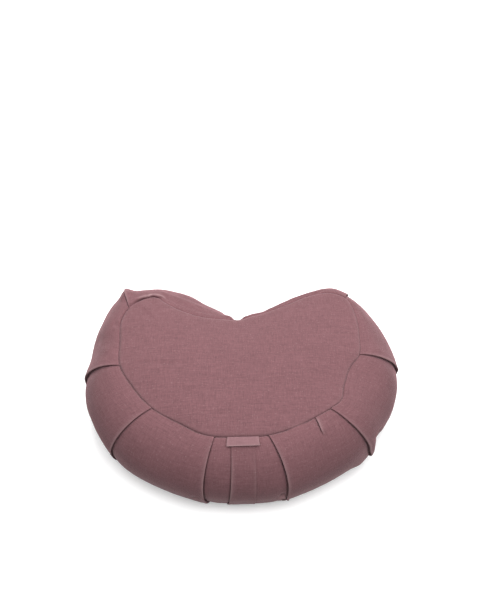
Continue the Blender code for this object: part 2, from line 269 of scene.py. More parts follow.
# %% [markdown]
# ## The pleats
#
# A knife pleat is a fold of cloth laid flat and sewn down at the seam. Away from the seam it opens: the upper
# layer lifts into a rolled lip, and the layer beside it sinks. The pleats differ in every way that matters, so
# each has a row of its own. A row says where the pleat runs at the top seam, halfway down and at the bottom
# seam, and which side lies on top: 1 is the side farther along the seam, and -1 the nearer one. Then it says how
# high the lip stands, how deep the cloth beside it sinks, and over which part of the drop it is open. The last two
# columns say how far down the pleat can be seen at all, and how deep the narrow groove is where the lower layer is
# pulled in under the lip.

# %% List the pleats
FOLD_COLUMNS = ("name", "top", "middle", "low", "over", "lip", "valley", "start", "peak", "end", "last", "groove")
Fold = namedtuple("Fold", FOLD_COLUMNS)
FOLDS = [Fold(*row) for row in (
    ("left corner", 175, 150, 146, -1, 1.5, 0.5, 0.02, 0.20, 0.95, 2.0, 2.6),
    ("left side", 283, 261, 252, -1, 3.2, 1.2, 0.01, 0.38, 1.00, 2.0, 1.8),
    ("left front", 370, 354, 352, -1, 1.3, 1.5, 0.01, 0.45, 0.95, 2.0, 1.8),
    ("front outer left", 468, 465, 474, -1, 2.2, 1.6, 0.02, 0.50, 0.90, 2.0, 2.4),
    ("front inner left", 489.5, 491.5, 480, 1, 1.0, 0.7, 0.10, 0.50, 0.90, 2.0, 1.7),
    ("front inner right", 520, 518, 517, -1, 0.4, 0.1, 0.10, 0.45, 0.90, 2.0, 0.3),
    ("front outer right", 539.5, 552, 534.6, 1, 2.7, 1.2, 0.01, 0.42, 0.76, 2.0, 3.0),
    ("short tuck", 609.5, 597.5, 593.5, 1, 1.0, 0.5, 0.00, 0.05, 0.20, 0.17, 1.6),
    ("right front", 635, 650, 660, 1, 3.4, 0.5, 0.01, 0.60, 1.00, 2.0, 2.4),
    ("right side", 740, 758, 770, 1, 2.7, 1.0, 0.01, 0.36, 0.95, 2.0, 1.2),
    ("right corner", 847, 858, 862, 1, 1.7, 0.8, 0.02, 0.20, 0.70, 0.62, 1.0),
)]
LIP_REACH = 16.0
VALLEY_REACH = 8.0
SEWN_LIP = 0.8
SEWN_VALLEY = 0.25
FADE_DROP = 0.05


def ease(value):
    """Zero below 0, one above 1, and a soft change between."""
    value = np.clip(value, 0.0, 1.0)
    return value * value * (3 - 2 * value)


def bell(distance, reach):
    """One at distance 0, a third at the reach, and almost nothing past twice the reach."""
    return np.exp(-(distance / reach) ** 2)


def fold_place(fold, drop):
    """Where a fold edge runs, along the top seam, at each drop: a curve through the row's three places."""
    upper = fold.top * (1 - drop) * (1 - 2 * drop)
    lower = fold.low * drop * (2 * drop - 1)
    return upper + fold.middle * 4 * drop * (1 - drop) + lower


def fold_state(fold, drop):
    """Whether a pleat is there at each drop, its lip and its valley in mm, and how open it is."""
    opening = ease((drop - fold.start) / (fold.peak - fold.start))
    closing = ease((fold.end - drop) / (fold.end - fold.peak))
    opened = np.sqrt(opening * closing)
    there = ease((fold.last - drop) / FADE_DROP)
    sewn_lip = min(SEWN_LIP, fold.lip)
    sewn_valley = min(SEWN_VALLEY, fold.valley)
    lip = there * (sewn_lip + (fold.lip - sewn_lip) * opened)
    valley = there * (sewn_valley + (fold.valley - sewn_valley) * opened)
    return there, lip, valley, opened * there


def fold_side(fold, place, drop):
    """How far a place lies from a fold edge along the seam, positive on the side that lies on top."""
    away = np.mod(place - fold_place(fold, drop) + PERIMETER / 2, PERIMETER) - PERIMETER / 2
    return away * fold.over


def folds_rise(place, drop, own):
    """How far the pleats lift or sink the cloth; own numbers the pleat to leave out at each point, or is -1."""
    rise = np.zeros(np.broadcast(place, drop).shape)
    for number, fold in enumerate(FOLDS):
        away = fold_side(fold, place, drop)
        _, lip, valley, _ = fold_state(fold, drop)
        share = np.where(away > 0, lip * bell(away, LIP_REACH), -valley * bell(away, VALLEY_REACH))
        rise = rise + np.where(own == number, 0.0, share)
    return rise


print(len(FOLDS), "pleats, the highest lip", max(fold.lip for fold in FOLDS), "mm")

# %% [markdown]
# ## The cloth's way through a pleat
#
# A step in a height map would do from far away, but the edge of a real pleat is a roll of doubled cloth with a
# dark gap under it. So the cloth is followed through the pleat, as a thread would run: in over the upper layer,
# round the rolled edge, back under it to the hidden crease, and out again along the lower layer. Each stop on
# that way is a column of the strip's mesh. Where a pleat fades out, its columns spread until they lie flat.

# %% Follow the cloth through a pleat
SECTION_REACH = 8.0
UPPER_STOPS = (8.0, 6.4, 5.0, 3.8, 2.8, 2.0, 1.4)
ROLL_ANGLES = (90.0, 50.0, 15.0, -20.0, -55.0, -90.0)
UNDER_SHARES = (0.3, 0.65, 1.0)
CREASE_SHARES = (0.65, 0.3)
LOWER_STOPS = (0.0, -0.6, -1.2, -1.9, -2.8, -4.2, -6.0, -8.0)
STOP_COUNT = len(UPPER_STOPS + ROLL_ANGLES + UNDER_SHARES + CREASE_SHARES + LOWER_STOPS)
HIDDEN_STOP = len(UPPER_STOPS + ROLL_ANGLES + UNDER_SHARES) - 1
ROLL_SHARE = 0.36
ROLL_LEAST = 0.3
ROLL_MOST = 0.85
TUCK_SEWN = 2.0
TUCK_OPEN = 6.0
LIP_PUFF = 0.45
LIP_PUFF_AT = 1.5
LIP_PUFF_REACH = 1.6
GROOVE_SEWN = 0.5
GROOVE_REACH = 1.0


def fold_section(fold, drop):
    """Along and rise of every stop, in mm, from the upper layer to the lower one; along is 0 at the fold edge."""
    there, lip, valley, opened = fold_state(fold, drop)
    stretch = strip_stretch(fold_place(fold, drop), drop)
    roll = np.clip(ROLL_SHARE * lip, ROLL_LEAST, ROLL_MOST)
    tuck = TUCK_SEWN + (TUCK_OPEN - TUCK_SEWN) * opened
    groove = there * fold.groove * (GROOVE_SEWN + (1 - GROOVE_SEWN) * opened)
    deepest = -valley - groove

    def upper(along):
        puff = LIP_PUFF * opened * bell(along - LIP_PUFF_AT, LIP_PUFF_REACH)
        return lip * bell(along / stretch, LIP_REACH) + puff

    stops = [(np.full(drop.shape, along), upper(along)) for along in UPPER_STOPS]
    for angle in np.radians(ROLL_ANGLES):
        stops.append((roll * (1 - np.cos(angle)), upper(roll) - roll + roll * np.sin(angle)))
    below = upper(roll) - 2 * roll
    for share in UNDER_SHARES:
        stops.append((roll + (tuck - roll) * share, deepest + (below - deepest) * (1 - share ** 2)))
    stops += [(tuck * share, deepest) for share in CREASE_SHARES]
    for along in LOWER_STOPS:
        sunk = -valley * bell(along / stretch, VALLEY_REACH)
        stops.append((np.full(drop.shape, along), sunk - groove * bell(along, GROOVE_REACH)))
    along = np.array([stop[0] for stop in stops])
    rise = np.array([stop[1] for stop in stops])
    flat = SECTION_REACH * np.linspace(1.0, -1.0, STOP_COUNT)[:, None]
    return there * along + (1 - there) * flat, there * rise, opened


RUB_START = 1.0
RUB_REACH = 2.0


def worn_shares(opened):
    """How rubbed each stop is: the rolled edge most, the upper layer less, the rest not at all."""
    upper = [np.exp(-(along - RUB_START) / RUB_REACH) * opened for along in UPPER_STOPS]
    roll = [np.sqrt(max(0.0, math.sin(math.radians(angle) / 2 + math.pi / 4))) * opened for angle in ROLL_ANGLES]
    hidden = [0.0 * opened] * (STOP_COUNT - len(upper) - len(roll))
    return np.array(upper + roll + hidden)


print(STOP_COUNT, "columns of mesh through each pleat")

# %% [markdown]
# ## Rows and columns of the strip
#
# The columns run down the strip beside the pleats and through them, and between two pleats they are spread
# evenly. The rows are close together at the top seam, where the cloth dives into the seam, and about 3 mm apart
# below it.

# %% Lay out the strip's mesh
SEAM_DROPS = (0.0, 0.003, 0.006, 0.010, 0.015, 0.021, 0.027, 0.034, 0.042, 0.051, 0.061, 0.072, 0.084, 0.097)
ROWS_BELOW = 58
FOOT_DROPS = (0.985, 1.0)
COLUMN_STEP = 2.5
DROPS = np.concatenate([SEAM_DROPS, np.linspace(0.111, 0.97, ROWS_BELOW), FOOT_DROPS])


def strip_columns():
    """Place, own rise, own pleat and wear of every column at every drop, and the number of each hidden crease."""
    sections = []
    for number, fold in enumerate(FOLDS):
        along, rise, opened = fold_section(fold, DROPS)
        pale_amount = worn_shares(opened * min(1.0, fold.lip))
        edge = fold_place(fold, DROPS)
        place = edge + fold.over * along / strip_stretch(edge, DROPS)
        if fold.over > 0:
            place, rise, pale_amount = place[::-1], rise[::-1], pale_amount[::-1]
        hidden = HIDDEN_STOP if fold.over < 0 else STOP_COUNT - 1 - HIDDEN_STOP
        sections.append((number, place, rise, pale_amount, hidden))
    places, rises, owners, wears, creases = [], [], [], [], []
    for number, place, rise, pale_amount, hidden in sections:
        creases.append(sum(len(block) for block in places) + hidden)
        places.append(place)
        rises.append(rise)
        owners.append(np.full(place.shape, number))
        wears.append(pale_amount)
        following = sections[(number + 1) % len(sections)][1][0]
        following = np.where(following < place[-1], following + PERIMETER, following)
        count = max(1, int(round((following - place[-1]).mean() / COLUMN_STEP)))
        share = (np.arange(count) + 1)[:, None] / (count + 1)
        places.append(place[-1] + (following - place[-1]) * share)
        rises.append(np.zeros((count, len(DROPS))))
        owners.append(np.full((count, len(DROPS)), -1))
        wears.append(np.zeros((count, len(DROPS))))
    return [np.concatenate(block) for block in (places, rises, owners, wears)] + [creases]


PLACE, OWN_RISE, OWNER, WORN, CREASES = strip_columns()
DROP = np.broadcast_to(DROPS, PLACE.shape)
print("strip:", PLACE.shape[0], "columns by", PLACE.shape[1], "rows")

# %% [markdown]
# ## Creases listed one by one
#
# What makes cloth look like cloth is where it is uneven: the puckers at the left lobe, the long soft ridges along
# the back of the strip, the trough that pulls in from the left pleat. Each is a soft ridge or trough along a
# short line. A row gives its name, where it starts, where it stops, how wide it is to one side, and how high. On
# the strip each end is a place and a drop, and on the panel an x and a y of the plan. Two more tables of the same
# kind say where the strip leans over the panel, and where a ledge of it gets a painted highlight, a paler colour
# for the light from behind.

# %% List the creases
STRIP_CREASES = (
    ("corner groove by the seam", 173, 0.012, 154, 0.008, 2.0, -2.0),
    ("corner groove goes back", 154, 0.008, 143, 0.022, 1.9, -3.6),
    ("corner groove end", 143, 0.022, 131, 0.014, 1.9, -3.4),
    ("tent of cloth at the left corner", 164, 0.160, 158.5, 0.290, 6.0, 7.5),
    ("fullness behind the left lobe", 152, 0.240, 96, 0.280, 16.0, 1.9),
    ("ledge behind the groove", 156, 0.045, 143, 0.052, 2.2, 2.4),
    ("ledge goes on", 143, 0.052, 122, 0.045, 2.4, 2.4),
    ("long ridge on the back left", 122, 0.120, 60, 0.130, 4.0, 1.0),
    ("long trough on the back left", 112, 0.060, 40, 0.075, 3.5, -0.7),
    ("low ridge on the back left", 95, 0.210, 25, 0.240, 6.0, 1.2),
    ("dimple beside the left lobe", 212, 0.030, 208, 0.080, 5.0, -1.3),
    ("soft hollow on the left side", 236, 0.120, 228, 0.260, 9.0, -1.2),
    ("pull from the left pleat", 262, 0.050, 246, 0.160, 4.5, 0.7),
    ("dent at the foot of the front left pleat", 458, 0.570, 457.5, 0.590, 2.7, -13.0),
    ("lip turned out at the front left", 463, 0.42, 465, 0.56, 2.6, 1.0),
    ("hole under the turned corner", 547, 0.545, 547.5, 0.560, 2.2, -9.0),
    ("turned corner at the front right", 543, 0.605, 552, 0.590, 2.3, 3.0),
    ("slack above the left front pleat", 338, 0.610, 312, 0.560, 12.0, -4.5),
    ("pucker by the right front pleat", 656, 0.520, 658, 0.620, 3.0, 1.5),
    ("fullness at the right front pleat's end", 640, 0.605, 651, 0.605, 8.0, 4.0),
    ("pull beside the right front pleat", 668, 0.500, 674, 0.620, 5.0, -5.0),
    ("fullness above the right pleat", 848, 0.330, 776, 0.380, 24.0, 4.0),
    ("ridge under the right pleat", 757, 0.440, 748, 0.500, 4.0, 0.9),
    ("long ridge on the back right", 890, 0.070, 965, 0.100, 3.5, 0.9),
    ("dark dip on the back right", 892, 0.020, 884, 0.060, 3.5, -1.4),
    ("cloth heaped left of the notch", 15, 0.080, 8, 0.260, 5.5, 2.8),
    ("gather at the notch", 1.5, 0.060, 1.0, 0.300, 2.2, -1.8),
    ("step right of the notch", 1005, 0.050, 1004, 0.350, 4.0, 1.6),
)
STRIP_LEANS = (
    ("ledge leans over the groove", 156, 0.042, 143, 0.048, 4.0, 3.6),
    ("ledge leans over the groove's end", 143, 0.048, 126, 0.040, 4.0, 3.6),
)
# Painted highlight: a ledge at the back left is painted paler where the light from behind falls on it.
LEDGE_PAINTED_HIGHLIGHT = (
    ("painted highlight on the ledge", 152, 0.056, 140, 0.062, 2.2, 1.15),
    ("painted highlight on the ledge goes on", 138, 0.062, 118, 0.056, 2.2, 1.15),
)
PANEL_CREASES = (
    ("soft trough on the left", -142, 4, -112, 1, 2.4, -0.5),
    ("sharp part of the trough", -112, 1, -82, -1, 1.9, -1.0),
    ("rise above the trough", -136, 10, -84, 5, 4.0, 0.5),
    ("pucker at the notch", -8, 84, -8, 68, 1.8, -1.1),
    ("ridge beside the notch", -2, 82, 0, 66, 3.0, 0.6),
    ("crease above the short tuck", 98, -83, 88, -66, 1.5, -0.6),
    ("pull into the left lobe", -148, 108, -128, 84, 4.0, -0.7),
    ("second pull into the left lobe", -128, 116, -118, 92, 4.5, -0.6),
    ("ridge between the pulls", -139, 112, -124, 88, 4.0, 0.6),
    ("pull into the right lobe", 150, 112, 132, 96, 5.0, -0.5),
    ("soft dip on the right", 158, 30, 138, 34, 5.0, -0.5),
)


def segment_distance(x, y, start, stop):
    """Distance in mm from points to the line between start and stop."""
    start = np.array(start, float)
    stop = np.array(stop, float)
    way = stop - start
    share = np.clip(((x - start[0]) * way[0] + (y - start[1]) * way[1]) / (way @ way), 0.0, 1.0)
    return np.hypot(x - start[0] - way[0] * share, y - start[1] - way[1] * share)


def creases_rise(x, y, table):
    """The sum of a table's soft ridges and troughs."""
    rise = np.zeros(np.broadcast(x, y).shape)
    for _, from_x, from_y, to_x, to_y, half_width, height in table:
        rise = rise + height * bell(segment_distance(x, y, (from_x, from_y), (to_x, to_y)), half_width)
    return rise


DROP_LENGTH = 190.0


def strip_creases_rise(table):
    """The sum of one of the strip's tables at every point of its mesh, with the drops turned into millimetres."""
    flat = [(name, a, b * DROP_LENGTH, c, d * DROP_LENGTH, width, size) for name, a, b, c, d, width, size in table]
    return creases_rise(np.mod(PLACE, PERIMETER), DROP * DROP_LENGTH, flat)


print(len(STRIP_CREASES) + len(PANEL_CREASES), "creases placed by hand")

# %% [markdown]
# ## The filling
#
# A padded shape drawn from formulas looks moulded. What it lacks is the way cloth swells between the places
# where it is sewn. Blender's cloth simulation gives that: a copy of the solid is remeshed evenly, held along the
# seams, the floor and the pleats, and blown up by a little pressure. Only the movement is kept, with a cap on
# it, and every piece of the cover then takes its share of the movement, so seams stay closed.

# %% Blow up a copy of the solid
VOXEL = 5.5
PRESSURE = 4.0
LAST_FRAME = 20
MOVE_CAP = 7.0
SEAM_HOLD_REACH = 9.0
FOLD_HOLD = 0.85
FOLD_HOLD_REACH = 8.0
FLOOR_HOLD_FULL = 4.0
FLOOR_HOLD_NONE = 22.0
SEAM_HOLD_STEP = 3.0
FOLD_HOLD_POINTS = 60
DOUBLES_APART = 0.01
FREE_BELOW = 0.1
LEAST_MOVE = 0.001
LEAST_WEIGHT = 1e-9
NEAREST_COUNT = 10
BLEND_REACH = 5.0
SMOOTH_ROUNDS = 6
SMOOTH_SHARE = 0.5
FLOOR_CLEARANCE = 0.05


def filling_copy():
    """An evenly meshed, closed copy of the side band's solid."""
    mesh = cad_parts["side_band"].data.copy()
    work = bmesh.new()
    work.from_mesh(mesh)
    bmesh.ops.remove_doubles(work, verts=work.verts, dist=DOUBLES_APART * MM)
    work.to_mesh(mesh)
    work.free()
    filling = add_object("filling", mesh)
    even = filling.modifiers.new("even", "REMESH")
    even.mode = "VOXEL"
    even.voxel_size = VOXEL * MM
    graph = bpy.context.evaluated_depsgraph_get()
    filling.data = bpy.data.meshes.new_from_object(filling.evaluated_get(graph))
    filling.modifiers.clear()
    return filling


def mesh_points(mesh):
    """A mesh's points as an array, in mm."""
    points = np.empty(len(mesh.vertices) * 3)
    mesh.vertices.foreach_get("co", points)
    return points.reshape(-1, 3) / MM


def point_tree(points):
    """A tree that finds the nearest of these points."""
    tree = KDTree(len(points))
    for number, point in enumerate(points):
        tree.insert(point, number)
    tree.balance()
    return tree


def nearest_distance(points, targets):
    """The distance from each point to the nearest target."""
    tree = point_tree(targets)
    return np.array([tree.find(point)[2] for point in points])


def held_shares(points):
    """How firmly each point of the filling is held, from 0, free, to 1, fixed."""
    seam = strip_base(np.arange(0.0, PERIMETER, SEAM_HOLD_STEP), 0.0)
    drops = np.linspace(0.0, 1.0, FOLD_HOLD_POINTS)
    lines = [strip_base(fold_place(fold, drops), drops)[drops < fold.last] for fold in FOLDS]
    by_seam = bell(nearest_distance(points, seam), SEAM_HOLD_REACH)
    by_fold = FOLD_HOLD * bell(nearest_distance(points, np.concatenate(lines)), FOLD_HOLD_REACH)
    by_floor = 1 - ease((points[:, 2] - FLOOR_HOLD_FULL) / (FLOOR_HOLD_NONE - FLOOR_HOLD_FULL))
    return np.maximum(np.maximum(by_seam, by_fold), by_floor)


def blow_up(filling, held):
    """Runs the cloth simulation and returns how far each point moved, in mm."""
    pins = filling.vertex_groups.new(name="held")
    for number, share in enumerate(held):
        pins.add([number], float(share), "REPLACE")
    before = mesh_points(filling.data)
    cloth = filling.modifiers.new("cloth", "CLOTH")
    cloth.settings.vertex_group_mass = pins.name
    cloth.settings.use_pressure = True
    cloth.settings.uniform_pressure_force = PRESSURE
    cloth.settings.effector_weights.gravity = 0.0
    cloth.point_cache.frame_start = 1
    cloth.point_cache.frame_end = LAST_FRAME
    for number in range(1, LAST_FRAME + 1):
        bpy.context.scene.frame_set(number)
    graph = bpy.context.evaluated_depsgraph_get()
    swollen = bpy.data.meshes.new_from_object(filling.evaluated_get(graph))
    moved = mesh_points(swollen) - before
    filling.modifiers.clear()
    bpy.context.scene.frame_set(1)
    return before, moved


def smoothed(mesh, values):
    """Values averaged with those of the neighbouring points, a few times over."""
    edges = np.empty(len(mesh.edges) * 2, int)
    mesh.edges.foreach_get("vertices", edges)
    edges = edges.reshape(-1, 2)
    count = np.bincount(edges.ravel(), minlength=len(values))[:, None]
    for _ in range(SMOOTH_ROUNDS):
        total = np.zeros_like(values)
        np.add.at(total, edges[:, 0], values[edges[:, 1]])
        np.add.at(total, edges[:, 1], values[edges[:, 0]])
        values = (1 - SMOOTH_SHARE) * values + SMOOTH_SHARE * total / np.maximum(count, 1)
    return values


def capped(moved, held):
    """Movement without the swelling that is the same everywhere, and never more than the cap."""
    free = held < FREE_BELOW
    size = np.linalg.norm(moved, axis=1, keepdims=True)
    common = np.median(size[free])
    lessened = moved * (1 - common / np.maximum(size, common))
    size = np.linalg.norm(lessened, axis=1, keepdims=True)
    print("movement: common", round(float(common), 2), "mm, most left", round(float(size.max()), 2), "mm")
    return lessened * np.minimum(1.0, MOVE_CAP / np.maximum(size, LEAST_MOVE))


def run_filling():
    filling = filling_copy()
    held = held_shares(mesh_points(filling.data))
    before, moved = blow_up(filling, held)
    moved = smoothed(filling.data, capped(moved, held))
    bpy.data.objects.remove(filling, do_unlink=True)
    print("filling:", len(before), "points")
    return point_tree(before), moved


FILLING = run_filling()


def puffed(points):
    """Points of the cover, in mm, after they follow the filling."""
    if FILLING is None:
        return points
    tree, moved = FILLING
    result = points.copy()
    for number, point in enumerate(points):
        near = tree.find_n(point, NEAREST_COUNT)
        weights = np.array([math.exp(-(distance / BLEND_REACH) ** 2) + LEAST_WEIGHT for _, _, distance in near])
        result[number] += weights @ moved[[index for _, index, _ in near]] / weights.sum()
    return result


def above_floor(points):
    """Points with none of them under the floor."""
    lifted = points.copy()
    lifted[:, 2] = np.maximum(lifted[:, 2], FLOOR_CLEARANCE)
    return lifted


# %% [markdown]
# ## How the cloth dives into the seam
#
# Seen close, the top seam is a ditch: both cloths turn down into it. It is deep and dark along the left side and
# the front, nearly closed on the right lobe, and gathered at the left lobe, so its depth has a small table of its
# own, of places along the seam and depths. Between the tape and the short tuck the seam almost vanishes, and there
# a depth below zero lets the cloth stand up a little. The thread pulls the cloth into fine puckers a few
# millimetres long, which a smooth noise along the seam gives.

# %% Describe the seam
SEAM_DEPTHS = (
    (0, 0.5), (15, 0.2), (110, 0.2), (127, 0.8), (135, 2.6), (155, 2.4), (175, 2.0), (190, 2.1), (230, 2.1),
    (283, 1.7), (330, 1.5), (370, 1.2), (385, 0.8), (415, 1.1), (440, 1.8), (480, 1.6), (530, 1.5), (560, 1.4),
    (567, 0.9), (572, -0.3), (588, -0.3), (593, 0.9), (610, 1.4), (640, 1.5), (665, 1.4), (700, 1.1), (722, 0.8),
    (745, 0.3), (780, 0.1), (850, 0.2), (880, 0.8), (900, 0.4), (960, 0.3), (1000, 0.5),
)
DITCH_REACH = 1.0
PUCKER_HEIGHT = 0.4
PUCKER_LENGTH = 8.0
PUCKER_REACH = 9.0
PUCKER_STRETCH = 3
LUMP_SIZES = ((55.0, 0.9), (21.0, 0.25))
LUMP_FADE = 25.0
SEAM_NOISE_ROW = 11.3
STRIP_NOISE_ROW = 27.1
PANEL_NOISE_ROW = 43.7


def seam_depth(place):
    """How deep the ditch of the top seam is."""
    table = np.array(SEAM_DEPTHS, float)
    return np.interp(np.mod(place, PERIMETER), table[:, 0], table[:, 1], period=PERIMETER)


def wave(x, y, row):
    """Smooth noise from -1 to 1, one value for each point of a plane."""
    flat = [noise.noise(Vector((a, b, row))) for a, b in zip(np.ravel(x), np.ravel(y))]
    return np.reshape(flat, np.shape(x))


def seam_rise(place, away):
    """The ditch and the puckers, at a distance in mm from the top seam."""
    ditch = -seam_depth(place) * bell(away, DITCH_REACH)
    pucker = wave(place / PUCKER_LENGTH, away / PUCKER_REACH / PUCKER_STRETCH, SEAM_NOISE_ROW)
    return ditch + PUCKER_HEIGHT * pucker * away / PUCKER_REACH * np.exp(1 - away / PUCKER_REACH)


def lumps(x, y, row):
    """The filling's own broad unevenness, one wave for each length and height."""
    return sum(height * wave(x / length, y / length, row + length) for length, height in LUMP_SIZES)


depths = [depth for _, depth in SEAM_DEPTHS]
print("the seam's ditch is", min(depths), "to", max(depths), "mm deep")

# %% [markdown]
# ## Making meshes with a cloth map
#
# The weave must follow the cloth and not the world, so every piece carries a UV map called cloth, in metres of
# real cloth. The cushion has no wear to speak of, but the rolled edges of the pleats are a touch paler from
# rubbing, and painted light makes a ledge at the back and the low outer part of the strip paler too, so the points
# also carry a value of how much paler they are.

# %% Make a piece of the cover
def make_piece(name, points, faces, cloth_map, pale_amount=None):
    """A smooth mesh object from points in mm, with its cloth map and how much paler each point is, from wear and
    from painted light.
    """
    mesh = bpy.data.meshes.new(name)
    mesh.from_pydata((np.asarray(points) * MM).tolist(), [], faces)
    mesh.shade_smooth()
    corners = np.empty(len(mesh.loops), int)
    mesh.loops.foreach_get("vertex_index", corners)
    layer = mesh.uv_layers.new(name="cloth")
    layer.data.foreach_set("uv", (np.asarray(cloth_map)[corners] * MM).ravel())
    values = np.zeros(len(points)) if pale_amount is None else np.asarray(pale_amount, float)
    mesh.attributes.new("pale_amount", "FLOAT", "POINT").data.foreach_set("value", values)
    print(name, "has", len(points), "points and", len(faces), "faces")
    return add_object(name, mesh)


def grid_faces(columns, rows, down_first):
    """Faces of a grid of points, kept column by column; the two orders of the corners face opposite ways."""
    around = (0, 1, rows + 1, rows) if down_first else (0, rows, rows + 1, 1)
    firsts = [i * rows + j for i in range(columns - 1) for j in range(rows - 1)]
    return [tuple(first + step for step in around) for first in firsts]


# %% [markdown]
# ## The strip
#
# The strip and the filling behind it are one closed padded body. The outer wall is the pleated cloth, and a lid
# above and below closes it under the two panels. The cloth map measures real lengths: down the strip from the
# seam, and along it from the middle of each stretch between two pleats.

# %% Build the strip
LID_SINK = 4.2
FLOOR_LID = 2.6
LID_INSET = 0.2
LID_STEP = 14.0
LID_MARGIN = 0.7
FAR_FROM_SEAM = 1000.0
LUMP_FOOT_FADE = 0.12
LEAN_FADE = 3.0
STRETCH_SHIFT = 1.7
# Painted light low on the strip, where the floor throws light back: how strong, at which drop, and how wide.
FOOT_PAINTED_LIGHT = 1.25
FOOT_PAINTED_LIGHT_DROP = 0.62
FOOT_PAINTED_LIGHT_REACH = 0.075


def strip_wall():
    """Every point of the pleated wall, in mm."""
    base = strip_base(PLACE, DROP)
    seam_x, seam_y = outline_at(PLACE)[:2]
    away = np.hypot(base[..., 0] - seam_x, base[..., 1] - seam_y)
    away = np.where(DROP < 0.5, away, FAR_FROM_SEAM)
    rise = OWN_RISE + folds_rise(PLACE, DROP, OWNER)
    rise = rise + strip_creases_rise(STRIP_CREASES)
    rise = rise + seam_rise(PLACE, away)
    lumpy = ease(away / LUMP_FADE) * ease((1 - DROP) / LUMP_FOOT_FADE)
    rise = rise + lumps(PLACE, DROP * DROP_LENGTH, STRIP_NOISE_ROW) * lumpy
    wall = base + strip_outward(PLACE, DROP) * rise[..., None]
    lean = strip_creases_rise(STRIP_LEANS) * ease(away / LEAN_FADE)
    wall[..., :2] += inward(PLACE) * lean[..., None]
    return wall


def strip_cloth_map(wall):
    """Real lengths of cloth: along from the middle of each stretch between creases, and down from the seam."""
    count = len(wall)
    steps = np.linalg.norm(np.roll(wall, -1, axis=0) - wall, axis=-1)
    along = np.zeros(wall.shape[:2])
    for start, stop in zip(CREASES, CREASES[1:] + [count + CREASES[0]]):
        members = np.arange(start, stop) % count
        lengths = np.cumsum(steps[members], axis=0) - steps[members]
        along[members] = lengths - lengths[len(members) // 2] + STRETCH_SHIFT * start
    down_step = np.linalg.norm(np.diff(wall, axis=1), axis=-1)
    down = np.concatenate([np.zeros((count, 1)), np.cumsum(down_step, axis=1)], axis=1)
    return np.stack([along, down], -1)


def even_places():
    """The columns' places at the seam with the pleats' way back and forth smoothed out."""
    places = PLACE[:, 0].copy()
    for number in range(len(FOLDS)):
        members = np.flatnonzero(OWNER[:, 0] == number)
        places[members] = np.linspace(places[members[0]], places[members[-1]], len(members))
    return places


def seam_ring(places, inset, low):
    """A ring in plan, set in from the top seam or from the bottom seam."""
    seam_x, seam_y, seam_z, wide_x, wide_y = outline_at(places)
    ring = np.stack([seam_x, seam_y], -1)
    if low:
        ring = ring + np.stack([wide_x - seam_x, wide_y - seam_y], -1) * BOTTOM_TUCK
    return ring + inward(places) * inset, seam_z


NOT_ZERO = 1e-9


def inside_ring(points, ring):
    """Whether each point of the plan lies inside a closed ring."""
    x, y = points[:, 0:1], points[:, 1:2]
    x0, y0 = ring[:, 0], ring[:, 1]
    x1, y1 = np.roll(x0, -1), np.roll(y0, -1)
    crosses = (y0 > y) != (y1 > y)
    at = x0 + (y - y0) * (x1 - x0) / np.where(y1 == y0, NOT_ZERO, y1 - y0)
    return (crosses & (x < at)).sum(axis=1) % 2 == 1


def grid_inside(ring, step, margin):
    """An even grid of points inside a ring, no nearer to it than the margin."""
    along, across = (np.arange(column.min(), column.max(), step) for column in ring.T)
    x, y = np.meshgrid(along, across, indexing="ij")
    points = np.stack([x.ravel(), y.ravel()], -1)
    points = points[inside_ring(points, ring)]
    gap = np.array([np.hypot(ring[:, 0] - px, ring[:, 1] - py).min() for px, py in points])
    return points[gap > margin]


FILL_INSIDE = 1
SAME_POINT = 1e-6


def plan_triangles(ring, inner):
    """Triangles that fill a ring in plan, counter-clockwise from above, over the ring's and the inner points."""
    points = np.concatenate([ring, inner])
    edges = [(k, (k + 1) % len(ring)) for k in range(len(ring))]
    found = delaunay_2d_cdt([Vector(point) for point in points], edges, [], FILL_INSIDE, SAME_POINT)
    source = [numbers[0] for numbers in found[3]]
    faces = []
    for corners in found[2]:
        a, b, c = (source[k] for k in corners)
        turn = np.cross(points[b] - points[a], points[c] - points[a])
        faces.append((a, b, c) if turn > 0 else (a, c, b))
    return points, faces


def lid(places, low):
    """Points and faces of the lid over the filling, its ring first, facing up."""
    ring, seam_z = seam_ring(places, LID_INSET, low)
    inner = grid_inside(ring, LID_STEP, LID_STEP * LID_MARGIN)
    points, faces = plan_triangles(ring, inner)
    if low:
        height = np.full(len(points), FLOOR_LID)
    else:
        height = np.concatenate([seam_z, np.full(len(inner), seam_z.mean())]) - LID_SINK
    return np.concatenate([points, height[:, None]], 1), faces


